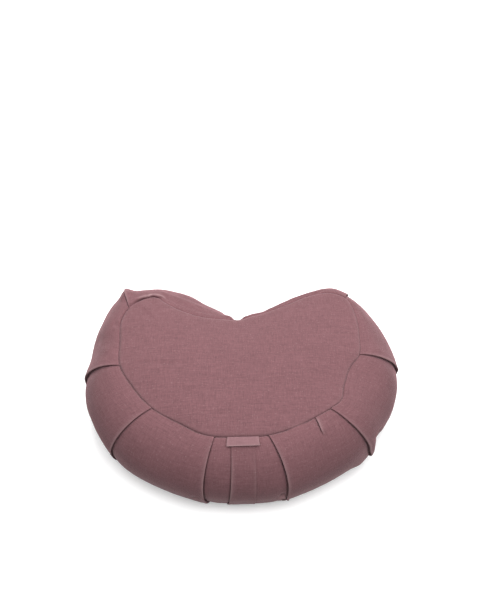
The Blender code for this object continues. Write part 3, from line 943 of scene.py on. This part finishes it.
def build_strip():
    """The closed padded body: pleated wall, upper lid and lower lid."""
    wall = strip_wall()
    cloth_map = strip_cloth_map(wall)
    columns, rows = PLACE.shape
    faces = []
    for k in range(columns):
        following = (k + 1) % columns
        for row in range(rows - 1):
            here, there = k * rows + row, following * rows + row
            faces.append((here, here + 1, there + 1, there))
    places = even_places()
    top, top_faces = lid(places, False)
    low, low_faces = lid(places, True)
    first_top = columns * rows
    first_low = first_top + len(top)
    for k in range(columns):
        following = (k + 1) % columns
        faces.append((first_top + k, k * rows, following * rows, first_top + following))
        faces.append((k * rows + rows - 1, first_low + k, first_low + following, following * rows + rows - 1))
    faces += [tuple(first_top + corner for corner in face) for face in top_faces]
    faces += [tuple(first_low + corner for corner in reversed(face)) for face in low_faces]
    points = above_floor(puffed(np.concatenate([wall.reshape(-1, 3), top, low])))
    flat_map = np.concatenate([cloth_map.reshape(-1, 2), top[:, :2], low[:, :2]])
    # Painted light: low on the strip, where the floor throws light back, and on a ledge at the back left, lit from
    # behind, the colour is painted paler; the rolled edges of the pleats are paler from wear.
    painted_floor_light = FOOT_PAINTED_LIGHT * bell(DROP - FOOT_PAINTED_LIGHT_DROP, FOOT_PAINTED_LIGHT_REACH)
    paler_share = np.maximum(np.maximum(WORN, strip_creases_rise(LEDGE_PAINTED_HIGHLIGHT)), painted_floor_light)
    pale_amount = np.concatenate([paler_share.ravel(), np.zeros(len(top) + len(low))])
    return make_piece("pleated_strip", points, faces, flat_map, pale_amount)


pleated_strip = build_strip()

# %% [markdown]
# ## The two panels
#
# A panel is a sheet of cloth, so it is made as a surface and then given its thickness by a Solidify modifier. Its
# mesh has rings of points close together at the edge, where the cloth dives into the seam, and an even grid
# inside. Delaunay triangles join the two without long thin faces. The crown is the fourfold product that is zero
# on all four sides of a patch, raised to a power that makes it full near its edge, as stuffed cloth is.

# %% Build the panels
PANEL_THICK = 1.4
TOP_SEAM_SINK = 0.25
CROWN_RISE = 13.0
CROWN_POWER = 0.62
PANEL_CORNERS = (150.0, 370.0, 652.0, 850.0)
CROWN_GRID = (160, 112)
EDGE_INSETS = (0.2, 0.7, 1.3, 2.1, 3.2, 4.8, 7.0, 10.0)
EDGE_STEP = 2.4
PANEL_STEP = 2.6
PANEL_MARGIN = 0.8
PANEL_EDGE_WEAR = 0.4
PANEL_EDGE_WEAR_REACH = 2.0
LOW_EDGE_INSETS = (0.8, 4.0)
LOW_EDGE_STEP = 6.0
LOW_PANEL_STEP = 10.0


def crown_patch():
    """The crowned patch as a fine mesh, to look heights up on."""
    lobe_left, front_left, front_right, lobe_right = PANEL_CORNERS
    s, t = np.meshgrid(np.linspace(0, 1, CROWN_GRID[0]), np.linspace(0, 1, CROWN_GRID[1]), indexing="ij")

    def side(start, end, share):
        seam_x, seam_y, seam_z = outline_at(start + (end - start) * share)[:3]
        return np.stack([seam_x, seam_y, seam_z], -1)

    front, back = side(front_left, front_right, s), side(lobe_left, lobe_right - PERIMETER, s)
    left, right = side(front_left, lobe_left, t), side(front_right, lobe_right, t)
    corners = [side(place, place, 0.0) for place in (front_left, front_right, lobe_left, lobe_right)]
    a, b = s[..., None], t[..., None]
    flat = (1 - b) * ((1 - a) * corners[0] + a * corners[1]) + b * ((1 - a) * corners[2] + a * corners[3])
    patch = (1 - b) * front + b * back + (1 - a) * left + a * right - flat
    patch[..., 2] += CROWN_RISE * (16 * s * (1 - s) * t * (1 - t)) ** CROWN_POWER - TOP_SEAM_SINK
    return BVHTree.FromPolygons([Vector(point) for point in patch.reshape(-1, 3)], grid_faces(*CROWN_GRID, False))


CROWN = crown_patch()
RAY_HEIGHT = 300.0
SEAM_HEIGHT = 112.0


def crown_height(x, y):
    """The height of the crowned patch over a point of the plan, or of its nearest point where it lies outside."""
    hit = CROWN.ray_cast(Vector((x, y, RAY_HEIGHT)), Vector((0.0, 0.0, -1.0)))[0]
    if hit is None:
        hit = CROWN.find_nearest(Vector((x, y, SEAM_HEIGHT)))[0]
    return hit.z


def panel_points(insets, edge_step, inner_step, low):
    """Rings of points at the insets, and an even grid inside the last of them."""
    places = np.arange(0.0, PERIMETER - edge_step / 2, edge_step)
    rings = [seam_ring(places, inset, low)[0] for inset in insets]
    inner = grid_inside(rings[-1], inner_step, inner_step * PANEL_MARGIN)
    return rings[0], np.concatenate(rings[1:] + [inner])


def nearest_place(points):
    """The place along the top seam nearest to each point of the plan, and how far away it is."""
    places = np.arange(0.0, PERIMETER, 1.0)
    seam_x, seam_y = outline_at(places)[:2]
    tree = point_tree(np.stack([seam_x, seam_y, np.zeros(len(places))], -1))
    found = [tree.find((x, y, 0.0)) for x, y in points]
    return places[[number for _, number, _ in found]], np.array([distance for _, _, distance in found])


def thicken(piece, thickness):
    """A Solidify modifier that adds the cloth's thickness on the inside."""
    solidify = piece.modifiers.new("thickness", "SOLIDIFY")
    solidify.thickness = thickness * MM
    solidify.offset = -1.0


def build_top_panel():
    """The crowned crescent of cloth, sewn down all round."""
    plan, faces = plan_triangles(*panel_points(EDGE_INSETS, EDGE_STEP, PANEL_STEP, False))
    place, away = nearest_place(plan)
    height = np.array([crown_height(x, y) for x, y in plan])
    height += seam_rise(place, away) + creases_rise(plan[:, 0], plan[:, 1], PANEL_CREASES)
    height += lumps(plan[:, 0], plan[:, 1], PANEL_NOISE_ROW) * ease(away / LUMP_FADE)
    points = puffed(np.concatenate([plan, height[:, None]], 1))
    pale_amount = PANEL_EDGE_WEAR * np.exp(-away / PANEL_EDGE_WEAR_REACH)
    piece = make_piece("top_cloth", points, faces, plan, pale_amount)
    thicken(piece, PANEL_THICK)
    return piece


def build_bottom_panel():
    """The crescent that lies on the floor."""
    plan, faces = plan_triangles(*panel_points(LOW_EDGE_INSETS, LOW_EDGE_STEP, LOW_PANEL_STEP, True))
    points = np.concatenate([plan, np.zeros((len(plan), 1))], 1)
    piece = make_piece("bottom_cloth", points, [tuple(reversed(face)) for face in faces], plan)
    thicken(piece, PANEL_THICK)
    return piece


top_cloth = build_top_panel()
bottom_cloth = build_bottom_panel()

# %% [markdown]
# ## The folded tape
#
# A short length of woven tape is folded in half and its two cut ends are caught in the seam. Its face is bare. It
# lies over the pleats below it and stands off a little at the fold, so it throws a thin shadow. It is made as one
# sheet that goes down the front of the tape, round the fold and back up behind it.

# %% Build the tape
TAPE_START = 485.0
TAPE_END = 526.0
TAPE_HANG = 14.3
TAPE_TILT = -0.8
TAPE_THICK = 0.45
TAPE_LIFT_SEAM = 1.5
TAPE_LIFT_FOLD = 2.1
TAPE_COLUMNS = 33
TAPE_ROWS = 15
TAPE_FOLD_ROWS = 7
TAPE_FOLD_RADIUS = 0.55
TAPE_BOW = 0.35
TAPE_ROOT = 0.12
TAPE_ROOT_SINK = 1.2
TAPE_RUB_REACH = 0.8
SCAN_STEPS = 401
SCAN_DROP = 0.4


def tape_rows():
    """Each row's share of the way down, its lift off the back layer and its way past the fold line, in mm."""
    down = np.linspace(0.0, 1.0, TAPE_ROWS)
    turn = np.linspace(0.0, np.pi, TAPE_FOLD_ROWS + 2)[1:-1]
    front = [(share, TAPE_FOLD_RADIUS * 2, 0.0) for share in down]
    fold = [(1.0, TAPE_FOLD_RADIUS * (1 + np.cos(angle)), TAPE_FOLD_RADIUS * np.sin(angle)) for angle in turn]
    back = [(share, 0.0, 0.0) for share in down[::-1]]
    return np.array(front + fold + back)


def drop_at(length):
    """The strip's drop at a length of cloth below the seam, at the middle of the tape."""
    scan = np.linspace(0.0, SCAN_DROP, SCAN_STEPS)
    line = strip_base(np.full(SCAN_STEPS, 0.5 * (TAPE_START + TAPE_END)), scan)
    arc = np.concatenate([[0.0], np.cumsum(np.linalg.norm(np.diff(line, axis=0), axis=1))])
    return np.interp(np.maximum(length, 0.0), arc, scan)


def build_tape():
    """The tape as one folded sheet."""
    rows = tape_rows()
    share, lift, past = (column[None, :] for column in rows.T)
    side = np.linspace(0.0, 1.0, TAPE_COLUMNS)[:, None]
    width = TAPE_END - TAPE_START
    place = TAPE_START + width * side + 0.0 * share
    drop = drop_at(share * (TAPE_HANG + TAPE_TILT * side) + past)
    standing = TAPE_LIFT_SEAM + (TAPE_LIFT_FOLD - TAPE_LIFT_SEAM) * share ** 2
    standing = standing + TAPE_BOW * np.sin(np.pi * side) * share + lift * share ** 0.5
    standing = standing * np.where(share < TAPE_ROOT, share / TAPE_ROOT, 1.0)
    points = strip_base(place, drop) + strip_outward(place, drop) * standing[..., None]
    points[..., 2] -= TAPE_ROOT_SINK * (1 - ease(share / TAPE_ROOT))
    flat = np.cumsum(np.linalg.norm(np.diff(points, axis=1, prepend=points[:, :1]), axis=-1), axis=1)
    cloth_map = np.stack([side * width + 0.0 * flat, flat], -1).reshape(-1, 2)
    edge = np.exp(-np.minimum(side, 1 - side) * width / TAPE_RUB_REACH) + 0.0 * share
    paler_share = np.maximum(edge, np.exp(-(1 - share) * TAPE_HANG / TAPE_RUB_REACH))
    faces = grid_faces(TAPE_COLUMNS, len(rows), True)
    piece = make_piece("folded_tape", puffed(points.reshape(-1, 3)), faces, cloth_map, paler_share.ravel())
    thicken(piece, TAPE_THICK)
    return piece


folded_tape = build_tape()

# %% [markdown]
# ## The thread in the seam
#
# Stuffing pulls a seam open a little, and then its stitches show at the bottom of the ditch as tiny bars across
# it. They repeat along a path, which is what Geometry Nodes are for: the seam's line is cut into even steps, and
# on each step a short round bar is laid across the line. A little random turn, with a fixed seed, keeps the row
# from looking printed. The bars are made real at the end, because an export drops instances.
#
# A tree of nodes is mostly links, so three small helpers come first. They serve the finishes and the light too.

# %% Write three helpers for trees of nodes
def feed(tree, node, inputs):
    """Fills a node's inputs: a socket is linked, and anything else becomes the input's own value."""
    for key, value in inputs.items():
        if isinstance(value, bpy.types.NodeSocket):
            tree.links.new(value, node.inputs[key])
        else:
            node.inputs[key].default_value = value


def add_node(tree, kind, inputs, **settings):
    """A new node with its settings and its inputs; returns its outputs."""
    node = tree.nodes.new(kind)
    for name, value in settings.items():
        setattr(node, name, value)
    feed(tree, node, inputs)
    return node.outputs


def math_node(tree, operation, *values):
    """A Math node whose inputs are sockets or plain numbers; returns its output."""
    return add_node(tree, "ShaderNodeMath", dict(enumerate(values)), operation=operation)[0]


# %% Build a tree of nodes that lays stitches along a line
STITCH_STEP = 3.0
STITCH_LENGTH = 1.5
STITCH_THICK = 0.36
STITCH_SIDES = 6
STITCH_TURN = 0.25
STITCH_SEED = 7
STITCH_SINK = 0.2
UP = (0.0, 0.0, 1.0)
# A Random Value node has sockets of every kind, so those for plain numbers go by their order.
RANDOM_LEAST = 2
RANDOM_MOST = 3
RANDOM_RESULT = 1


def stitch_tree(material):
    """A Geometry Nodes tree with named inputs for the stitches' sizes."""
    tree = bpy.data.node_groups.new("stitches_along_a_seam", "GeometryNodeTree")
    interface = tree.interface
    interface.new_socket("Geometry", in_out="INPUT", socket_type="NodeSocketGeometry")
    for name in ("Step", "Length", "Thickness", "Turn"):
        interface.new_socket(name, in_out="INPUT", socket_type="NodeSocketFloat")
    interface.new_socket("Geometry", in_out="OUTPUT", socket_type="NodeSocketGeometry")
    given = tree.nodes.new("NodeGroupInput").outputs
    line = {"Curve": given["Geometry"], "Length": given["Step"]}
    steps = add_node(tree, "GeometryNodeCurveToPoints", line, mode="LENGTH")
    across = add_node(tree, "ShaderNodeVectorMath", {0: steps["Tangent"], 1: UP}, operation="CROSS_PRODUCT")
    aligned = add_node(tree, "FunctionNodeAlignRotationToVector", {"Vector": across["Vector"]}, axis="Z")
    back = math_node(tree, "MULTIPLY", given["Turn"], -1.0)
    limits = {"Seed": STITCH_SEED, RANDOM_LEAST: back, RANDOM_MOST: given["Turn"]}
    random = add_node(tree, "FunctionNodeRandomValue", limits, data_type="FLOAT")
    turn = add_node(tree, "FunctionNodeAxisAngleToRotation", {"Axis": UP, "Angle": random[RANDOM_RESULT]})
    both = {"Rotation": aligned["Rotation"], "Rotate By": turn["Rotation"]}
    turned = add_node(tree, "FunctionNodeRotateRotation", both, rotation_space="GLOBAL")
    radius = math_node(tree, "MULTIPLY", given["Thickness"], 0.5)
    sizes = {"Vertices": STITCH_SIDES, "Depth": given["Length"], "Radius": radius}
    bar = add_node(tree, "GeometryNodeMeshCylinder", sizes)
    parts = {"Points": steps["Points"], "Instance": bar["Mesh"], "Rotation": turned["Rotation"]}
    laid = add_node(tree, "GeometryNodeInstanceOnPoints", parts)
    real = add_node(tree, "GeometryNodeRealizeInstances", {"Geometry": laid["Instances"]})
    finish = add_node(tree, "GeometryNodeSetMaterial", {"Geometry": real["Geometry"], "Material": material})
    add_node(tree, "NodeGroupOutput", {"Geometry": finish["Geometry"]})
    return tree


# %% Lay the stitches along the top seam
SEAM_LINE_STEP = 2.0


def seam_line():
    """A closed curve at the bottom of the top seam's ditch."""
    places = np.arange(0.0, PERIMETER - SEAM_LINE_STEP / 2, SEAM_LINE_STEP)
    seam_x, seam_y, seam_z = outline_at(places)[:3]
    points = np.stack([seam_x, seam_y, seam_z - TOP_SEAM_SINK - seam_depth(places) - STITCH_SINK], -1)
    points = puffed(points)
    curve = bpy.data.curves.new("seam_line", "CURVE")
    curve.dimensions = "3D"
    spline = curve.splines.new("POLY")
    spline.points.add(len(points) - 1)
    for point, co in zip(spline.points, points * MM):
        point.co = (*co, 1.0)
    spline.use_cyclic_u = True
    return add_object("seam_line", curve)


def lay_stitches(material):
    """Runs the tree on the seam's line and keeps its result as a plain mesh."""
    line = seam_line()
    tree = stitch_tree(material)
    maker = line.modifiers.new("stitches", "NODES")
    maker.node_group = tree
    sizes = {"Step": STITCH_STEP * MM, "Length": STITCH_LENGTH * MM}
    sizes |= {"Thickness": STITCH_THICK * MM, "Turn": STITCH_TURN}
    for item in tree.interface.items_tree:
        if item.in_out == "INPUT" and item.name in sizes:
            maker[item.identifier] = sizes[item.name]
    graph = bpy.context.evaluated_depsgraph_get()
    mesh = bpy.data.meshes.new_from_object(line.evaluated_get(graph))
    bpy.data.objects.remove(line, do_unlink=True)
    print("stitches:", len(mesh.vertices) // (2 * STITCH_SIDES))
    return add_object("seam_stitches", mesh)


# %% [markdown]
# ## Linen, as a few small node groups
#
# Up close linen is a plain weave: each thread goes over one and under the next. From a step away the weave melts
# into an even tone, and what the eye sees are slubs, the places where a thread was spun thicker, as short pale
# and dark streaks along both threads. Farther still only a faint mottling is left. Each of the three is a node
# group that puts out a value, so the cloth and the tape can use the same groups with other sizes.

# %% Build the weave group
def new_group(name, inputs, outputs):
    """An empty shader node group with named sockets."""
    group = bpy.data.node_groups.new(name, "ShaderNodeTree")
    for label, kind, value in inputs:
        socket = group.interface.new_socket(label, in_out="INPUT", socket_type=kind)
        if value is not None:
            socket.default_value = value
    for label, kind in outputs:
        group.interface.new_socket(label, in_out="OUTPUT", socket_type=kind)
    return group, group.nodes.new("NodeGroupInput").outputs, group.nodes.new("NodeGroupOutput")


THREAD_DIP = 0.45


def weave_group():
    """Plain weave: the height of the threads, from 0 in the holes to 1 on top of a thread."""
    inputs = [("Cloth", "NodeSocketVector", None), ("Thread Pitch", "NodeSocketFloat", 0.0008)]
    group, given, result = new_group("plain_weave", inputs, [("Height", "NodeSocketFloat")])
    split = add_node(group, "ShaderNodeSeparateXYZ", {0: given["Cloth"]})
    across = math_node(group, "DIVIDE", split["X"], given["Thread Pitch"])
    down = math_node(group, "DIVIDE", split["Y"], given["Thread Pitch"])
    warp = math_node(group, "ABSOLUTE", math_node(group, "SINE", math_node(group, "MULTIPLY", across, math.pi)))
    weft = math_node(group, "ABSOLUTE", math_node(group, "SINE", math_node(group, "MULTIPLY", down, math.pi)))
    cell = math_node(group, "ADD", math_node(group, "FLOOR", across), math_node(group, "FLOOR", down))
    over = math_node(group, "PINGPONG", cell, 1.0)
    warp_dips = math_node(group, "MULTIPLY_ADD", weft, THREAD_DIP, 1 - THREAD_DIP)
    weft_dips = math_node(group, "MULTIPLY_ADD", warp, THREAD_DIP, 1 - THREAD_DIP)
    warp_share = math_node(group, "MULTIPLY", math_node(group, "MULTIPLY", warp, warp_dips), over)
    under = math_node(group, "SUBTRACT", 1.0, over)
    weft_share = math_node(group, "MULTIPLY", math_node(group, "MULTIPLY", weft, weft_dips), under)
    feed(group, result, {"Height": math_node(group, "ADD", warp_share, weft_share)})
    return group


WEAVE = weave_group()
print("weave group:", len(WEAVE.nodes), "nodes")

# %% Build the slub and mottle groups
NOISE_ROUGHNESS = 0.6
SHIFT_SHARES = (1.0, 1.7, 0.3)
SLUB_SCALES = (1 / 0.0012, 1 / 0.020)
SLUB_SHIFTS = (3.1, 8.4)
FINE_SCALES = (1 / 0.0008, 1 / 0.006)
FINE_SHIFTS = (5.9, 1.2)
SLUB_DETAIL = 1.0


def stretched_noise(group, vector, scale, detail, shift):
    """Noise whose spots are stretched along x and y, from 0 to 1; the shift gives it a place of its own."""
    place = {"Vector": vector, "Scale": (*scale, 1.0), "Location": [shift * share for share in SHIFT_SHARES]}
    moved = add_node(group, "ShaderNodeMapping", place)
    look = {"Vector": moved["Vector"], "Scale": 1.0, "Detail": detail, "Roughness": NOISE_ROUGHNESS}
    return add_node(group, "ShaderNodeTexNoise", look)["Fac"]


def crossed_streaks(group, cloth, scales, shifts):
    """Streaks along both threads, around 0; the scales are those across a streak and along it."""
    warp = stretched_noise(group, cloth, scales, SLUB_DETAIL, shifts[0])
    weft = stretched_noise(group, cloth, scales[::-1], SLUB_DETAIL, shifts[1])
    return math_node(group, "SUBTRACT", math_node(group, "ADD", warp, weft), 1.0)


def slub_group():
    """Slubs along both threads, from about -1, a thin dark thread, to 1, a thick pale one."""
    inputs = [("Cloth", "NodeSocketVector", None), ("Fine Share", "NodeSocketFloat", 0.5)]
    group, given, result = new_group("slubs", inputs, [("Streaks", "NodeSocketFloat")])
    coarse = crossed_streaks(group, given["Cloth"], SLUB_SCALES, SLUB_SHIFTS)
    fine = crossed_streaks(group, given["Cloth"], FINE_SCALES, FINE_SHIFTS)
    total = math_node(group, "MULTIPLY_ADD", fine, given["Fine Share"], coarse)
    feed(group, result, {"Streaks": math_node(group, "MULTIPLY", total, 2.0)})
    return group


PATCH_SCALE = 1 / 0.030
PATCH_DETAIL = 2.0
PATCH_SHIFT = 6.6
NEP_SCALE = 1 / 0.0022
NEP_DETAIL = 0.0
NEP_SHIFT = 9.7
NEP_THRESHOLD = 0.70
NEP_SHARPNESS = 12.0


def mottle_group():
    """Broad faint patches around 0, and sparse pale neps, the knots of fibre that linen keeps, from 0 to 1."""
    inputs = [("Cloth", "NodeSocketVector", None), ("Nep Threshold", "NodeSocketFloat", NEP_THRESHOLD)]
    outputs = [("Patches", "NodeSocketFloat"), ("Neps", "NodeSocketFloat")]
    group, given, result = new_group("mottle", inputs, outputs)
    broad = stretched_noise(group, given["Cloth"], (PATCH_SCALE, PATCH_SCALE), PATCH_DETAIL, PATCH_SHIFT)
    spots = stretched_noise(group, given["Cloth"], (NEP_SCALE, NEP_SCALE), NEP_DETAIL, NEP_SHIFT)
    above = math_node(group, "SUBTRACT", spots, given["Nep Threshold"])
    neps = math_node(group, "MULTIPLY", above, NEP_SHARPNESS)
    clamped = math_node(group, "MINIMUM", math_node(group, "MAXIMUM", neps, 0.0), 1.0)
    feed(group, result, {"Patches": math_node(group, "SUBTRACT", broad, 0.5), "Neps": clamped})
    return group


SLUBS = slub_group()
MOTTLE = mottle_group()
print("slub group:", len(SLUBS.nodes), "nodes; mottle group:", len(MOTTLE.nodes), "nodes")

# %% [markdown]
# ## The finish of each piece
#
# The groups only put out values. The shader itself stays in the material: rough, with a soft sheen. On top of it a
# painted sheen makes the colour paler at a grazing view, as the short fibres of linen and the floor's light would;
# a Layer Weight node measures the view. A value on the points lifts the colour: from wear on rolled edges, and as
# painted light on a ledge at the back, lit from behind, and low on the strip. The weave and the slubs also feed a
# bump, with a real height of a tenth or two of a millimetre.

# %% Mix the linen
LINEN_COLOUR = (0.149, 0.0702, 0.0778)
LINEN_PALE = (0.28, 0.18, 0.185)
TAPE_COLOUR = (0.185, 0.099, 0.108)
THREAD_COLOUR = (0.09, 0.04, 0.045)
THREAD_PITCH = 0.0009
TAPE_PITCH = 0.00035
CLOTH_ROUGHNESS = 0.92
CLOTH_GLOSS = 0.12
SHEEN_ROUGHNESS = 0.4
SHEEN_TINT = (0.95, 0.78, 0.80, 1.0)
SLUB_STRENGTH = 0.17
SLUB_RELIEF = 0.35
PATCH_STRENGTH = 0.10
WEAVE_STRENGTH = 0.10
NEP_STRENGTH = 0.25
WEAR_AND_PAINTED_LIGHT_STRENGTH = 0.55
# Where the painted sheen at a grazing view begins, over what range it grows, and how strong it gets.
PAINTED_SHEEN_START = 0.48
PAINTED_SHEEN_RANGE = 0.5
PAINTED_SHEEN_STRENGTH = 1.2
RELIEF_HEIGHT = 0.00040


def linen_brightness(tree, weave, slubs, mottle):
    """How bright each point is beside the cloth's own colour, from its threads, with a painted sheen at a grazing
    view.
    """
    brightness = math_node(tree, "MULTIPLY_ADD", slubs["Streaks"], SLUB_STRENGTH, 1.0)
    brightness = math_node(tree, "MULTIPLY_ADD", mottle["Patches"], PATCH_STRENGTH, brightness)
    thread = math_node(tree, "SUBTRACT", weave["Height"], 0.5)
    brightness = math_node(tree, "MULTIPLY_ADD", thread, WEAVE_STRENGTH, brightness)
    # Painted sheen: the colour is painted paler at a grazing view, along the outline.
    facing = add_node(tree, "ShaderNodeLayerWeight", {"Blend": 0.5})
    grazing = math_node(tree, "SUBTRACT", facing["Facing"], PAINTED_SHEEN_START)
    grazing = math_node(tree, "MAXIMUM", math_node(tree, "DIVIDE", grazing, PAINTED_SHEEN_RANGE), 0.0)
    painted_sheen = math_node(tree, "MULTIPLY_ADD", math_node(tree, "MULTIPLY", grazing, grazing), PAINTED_SHEEN_STRENGTH, 1.0)
    return math_node(tree, "MULTIPLY", brightness, painted_sheen)


def linen_material(name, colour, pitch, fine_share, bump, sheen):
    """Woven cloth that reads its piece's cloth map."""
    material = bpy.data.materials.new(name)
    material.use_nodes = True
    tree = material.node_tree
    cloth = add_node(tree, "ShaderNodeUVMap", {}, uv_map="cloth")["UV"]
    pale_amount = add_node(tree, "ShaderNodeAttribute", {}, attribute_name="pale_amount")["Fac"]
    weave = add_node(tree, "ShaderNodeGroup", {"Cloth": cloth, "Thread Pitch": pitch}, node_tree=WEAVE)
    slubs = add_node(tree, "ShaderNodeGroup", {"Cloth": cloth, "Fine Share": fine_share}, node_tree=SLUBS)
    mottle = add_node(tree, "ShaderNodeGroup", {"Cloth": cloth}, node_tree=MOTTLE)
    lit = {0: colour, "Scale": linen_brightness(tree, weave, slubs, mottle)}
    scaled = add_node(tree, "ShaderNodeVectorMath", lit, operation="SCALE")["Vector"]
    paleness = math_node(tree, "MULTIPLY", mottle["Neps"], NEP_STRENGTH)
    # The value on the points lifts the colour: wear on the rolled edges, and painted light low on the strip and on
    # a ledge at the back.
    paleness = math_node(tree, "MULTIPLY_ADD", pale_amount, WEAR_AND_PAINTED_LIGHT_STRENGTH, paleness)
    blend = {"Factor": paleness, "A": scaled, "B": (*LINEN_PALE, 1.0)}
    mixed = add_node(tree, "ShaderNodeMix", blend, data_type="RGBA")["Result"]
    height = math_node(tree, "MULTIPLY_ADD", slubs["Streaks"], SLUB_RELIEF, weave["Height"])
    relief = add_node(tree, "ShaderNodeBump", {"Strength": bump, "Distance": RELIEF_HEIGHT, "Height": height})
    feed(tree, tree.nodes["Principled BSDF"], {
        "Base Color": mixed,
        "Roughness": CLOTH_ROUGHNESS,
        "Specular IOR Level": CLOTH_GLOSS,
        "Sheen Weight": sheen,
        "Sheen Roughness": SHEEN_ROUGHNESS,
        "Sheen Tint": SHEEN_TINT,
        "Normal": relief["Normal"],
    })
    return material


linen = linen_material("slubby_linen", LINEN_COLOUR, THREAD_PITCH, fine_share=1.1, bump=0.5, sheen=0.2)
tape_finish = linen_material("woven_tape", TAPE_COLOUR, TAPE_PITCH, fine_share=0.2, bump=0.3, sheen=0.1)
thread_finish = linen_material("sewing_thread", THREAD_COLOUR, TAPE_PITCH, fine_share=0.0, bump=0.2, sheen=0.05)
seam_stitches = lay_stitches(thread_finish)
for piece in (pleated_strip, top_cloth, bottom_cloth):
    piece.data.materials.append(linen)
folded_tape.data.materials.append(tape_finish)
print("finishes:", [material.name for material in (linen, tape_finish, thread_finish)])

# %% [markdown]
# ## Floor and light
#
# The photograph is a high-key studio picture: the paper is lit until it is white, and the only shadow is a faint
# one where the cushion touches it. Two lights explain the tones on the cloth. Soft light comes from the whole
# upper half of the room, most of it from straight above, and a little more from the right and from the front. One
# large light stands straight behind the cushion, which is why the back edge glows and the front of the strip is
# dark. Paper as white as it looks would throw light back up and kill that darkness, so a Light Path node lets the
# paper look brighter than it lights. The room behind it is treated the same way.

# %% Set up the studio
WHITE = (1.0, 1.0, 1.0, 1.0)
FLOOR_SIZE = 12.0
FLOOR_DEPTH = 0.0002
FLOOR_SEEN = (0.92, 0.92, 0.92, 1.0)
FLOOR_GLOW = 0.15
FLOOR_BOUNCE = (0.22, 0.22, 0.22, 1.0)
ROOM_SIDE_LIGHT = 0.26
ROOM_TOP_LIGHT = 3.20
ROOM_RIGHT_SHARE = 0.46
ROOM_FRONT_SHARE = 0.22
ROOM_SEEN = 1.0
KEY_SIZE = 1.2
KEY_POWER = 18.0
KEY_DISTANCE = 1.6
KEY_AZIMUTH = math.radians(90.0)
KEY_ELEVATION = math.radians(44.0)


def paper_finish():
    """Paper that looks white to the camera and throws little light back."""
    paper = bpy.data.materials.new("paper")
    paper.use_nodes = True
    tree = paper.node_tree
    seen = tree.nodes["Principled BSDF"]
    feed(tree, seen, {"Base Color": FLOOR_SEEN, "Roughness": 1.0, "Specular IOR Level": 0.0})
    feed(tree, seen, {"Emission Color": WHITE, "Emission Strength": FLOOR_GLOW})
    lighting = add_node(tree, "ShaderNodeBsdfDiffuse", {"Color": FLOOR_BOUNCE})["BSDF"]
    by_camera = add_node(tree, "ShaderNodeLightPath", {})["Is Camera Ray"]
    choice = add_node(tree, "ShaderNodeMixShader", {"Fac": by_camera, 1: lighting, 2: seen.outputs["BSDF"]})
    feed(tree, tree.nodes["Material Output"], {"Surface": choice["Shader"]})
    return paper


def build_floor():
    """A pale paper floor, a hair below the cushion."""
    mesh = bpy.data.meshes.new("paper_floor")
    half = FLOOR_SIZE / 2
    mesh.from_pydata([(-half, -half, 0), (half, -half, 0), (half, half, 0), (-half, half, 0)], [], [(0, 1, 2, 3)])
    floor = add_object("paper_floor", mesh)
    floor.location.z = -FLOOR_DEPTH
    mesh.materials.append(paper_finish())
    floor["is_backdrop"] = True


def build_lamp():
    """One large soft light behind the cushion, aimed at the focus point."""
    lamp_data = bpy.data.lights.new("back_softbox", "AREA")
    lamp_data.size = KEY_SIZE
    lamp_data.energy = KEY_POWER
    lamp = add_object("back_softbox", lamp_data)
    flat = math.cos(KEY_ELEVATION)
    way = Vector((flat * math.cos(KEY_AZIMUTH), flat * math.sin(KEY_AZIMUTH), math.sin(KEY_ELEVATION)))
    lamp.location = FOCUS_POINT + way * KEY_DISTANCE
    lamp.rotation_euler = (-way).to_track_quat("-Z", "Y").to_euler()


def build_room():
    """A room that is white to look at, and as a light brightest overhead, and brighter right and in front."""
    world = bpy.data.worlds.new("white_room")
    world.use_nodes = True
    tree = world.node_tree
    around = add_node(tree, "ShaderNodeTexCoord", {})["Generated"]
    direction = add_node(tree, "ShaderNodeSeparateXYZ", {"Vector": around})
    height = math_node(tree, "MAXIMUM", direction["Z"], 0.0)
    height = math_node(tree, "MULTIPLY", height, height)
    lighting = math_node(tree, "MULTIPLY_ADD", height, ROOM_TOP_LIGHT - ROOM_SIDE_LIGHT, ROOM_SIDE_LIGHT)
    leaning = math_node(tree, "MULTIPLY_ADD", direction["X"], ROOM_RIGHT_SHARE, 1.0)
    leaning = math_node(tree, "MULTIPLY_ADD", direction["Y"], -ROOM_FRONT_SHARE, leaning)
    lighting = math_node(tree, "MULTIPLY", lighting, leaning)
    by_camera = add_node(tree, "ShaderNodeLightPath", {})["Is Camera Ray"]
    brighter = math_node(tree, "SUBTRACT", ROOM_SEEN, lighting)
    strength = math_node(tree, "MULTIPLY_ADD", by_camera, brighter, lighting)
    feed(tree, tree.nodes["Background"], {"Color": WHITE, "Strength": strength})
    bpy.context.scene.world = world
    bpy.context.scene.view_settings.view_transform = "Standard"


build_floor()
build_lamp()
build_room()
print("a lamp of", KEY_POWER, "W behind, and a room of", ROOM_SIDE_LIGHT, "to", ROOM_TOP_LIGHT)

# %% [markdown]
# ## Hanging the pieces on the body
#
# Each piece of the cover rides on the one body, because the cushion doesn't move, and the solid it stands for is
# hidden. The stitches ride on the body too.

COVER = (
    (pleated_strip, "side_band", "cover_cloth"),
    (top_cloth, "top_panel", "cover_cloth"),
    (bottom_cloth, "bottom_panel", "cover_cloth"),
    (folded_tape, "label", "label_tape"),
)
for piece, node, slot in COVER:
    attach(piece, "root")
    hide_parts(node)
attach(seam_stitches, "root")

# %% Print the two boxes
visual_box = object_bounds()
for name, (low, high) in (("solids", CAD_BOX), ("cushion", visual_box)):
    print(name, [round((b - a) / MM, 1) for a, b in zip(low, high)], "mm")
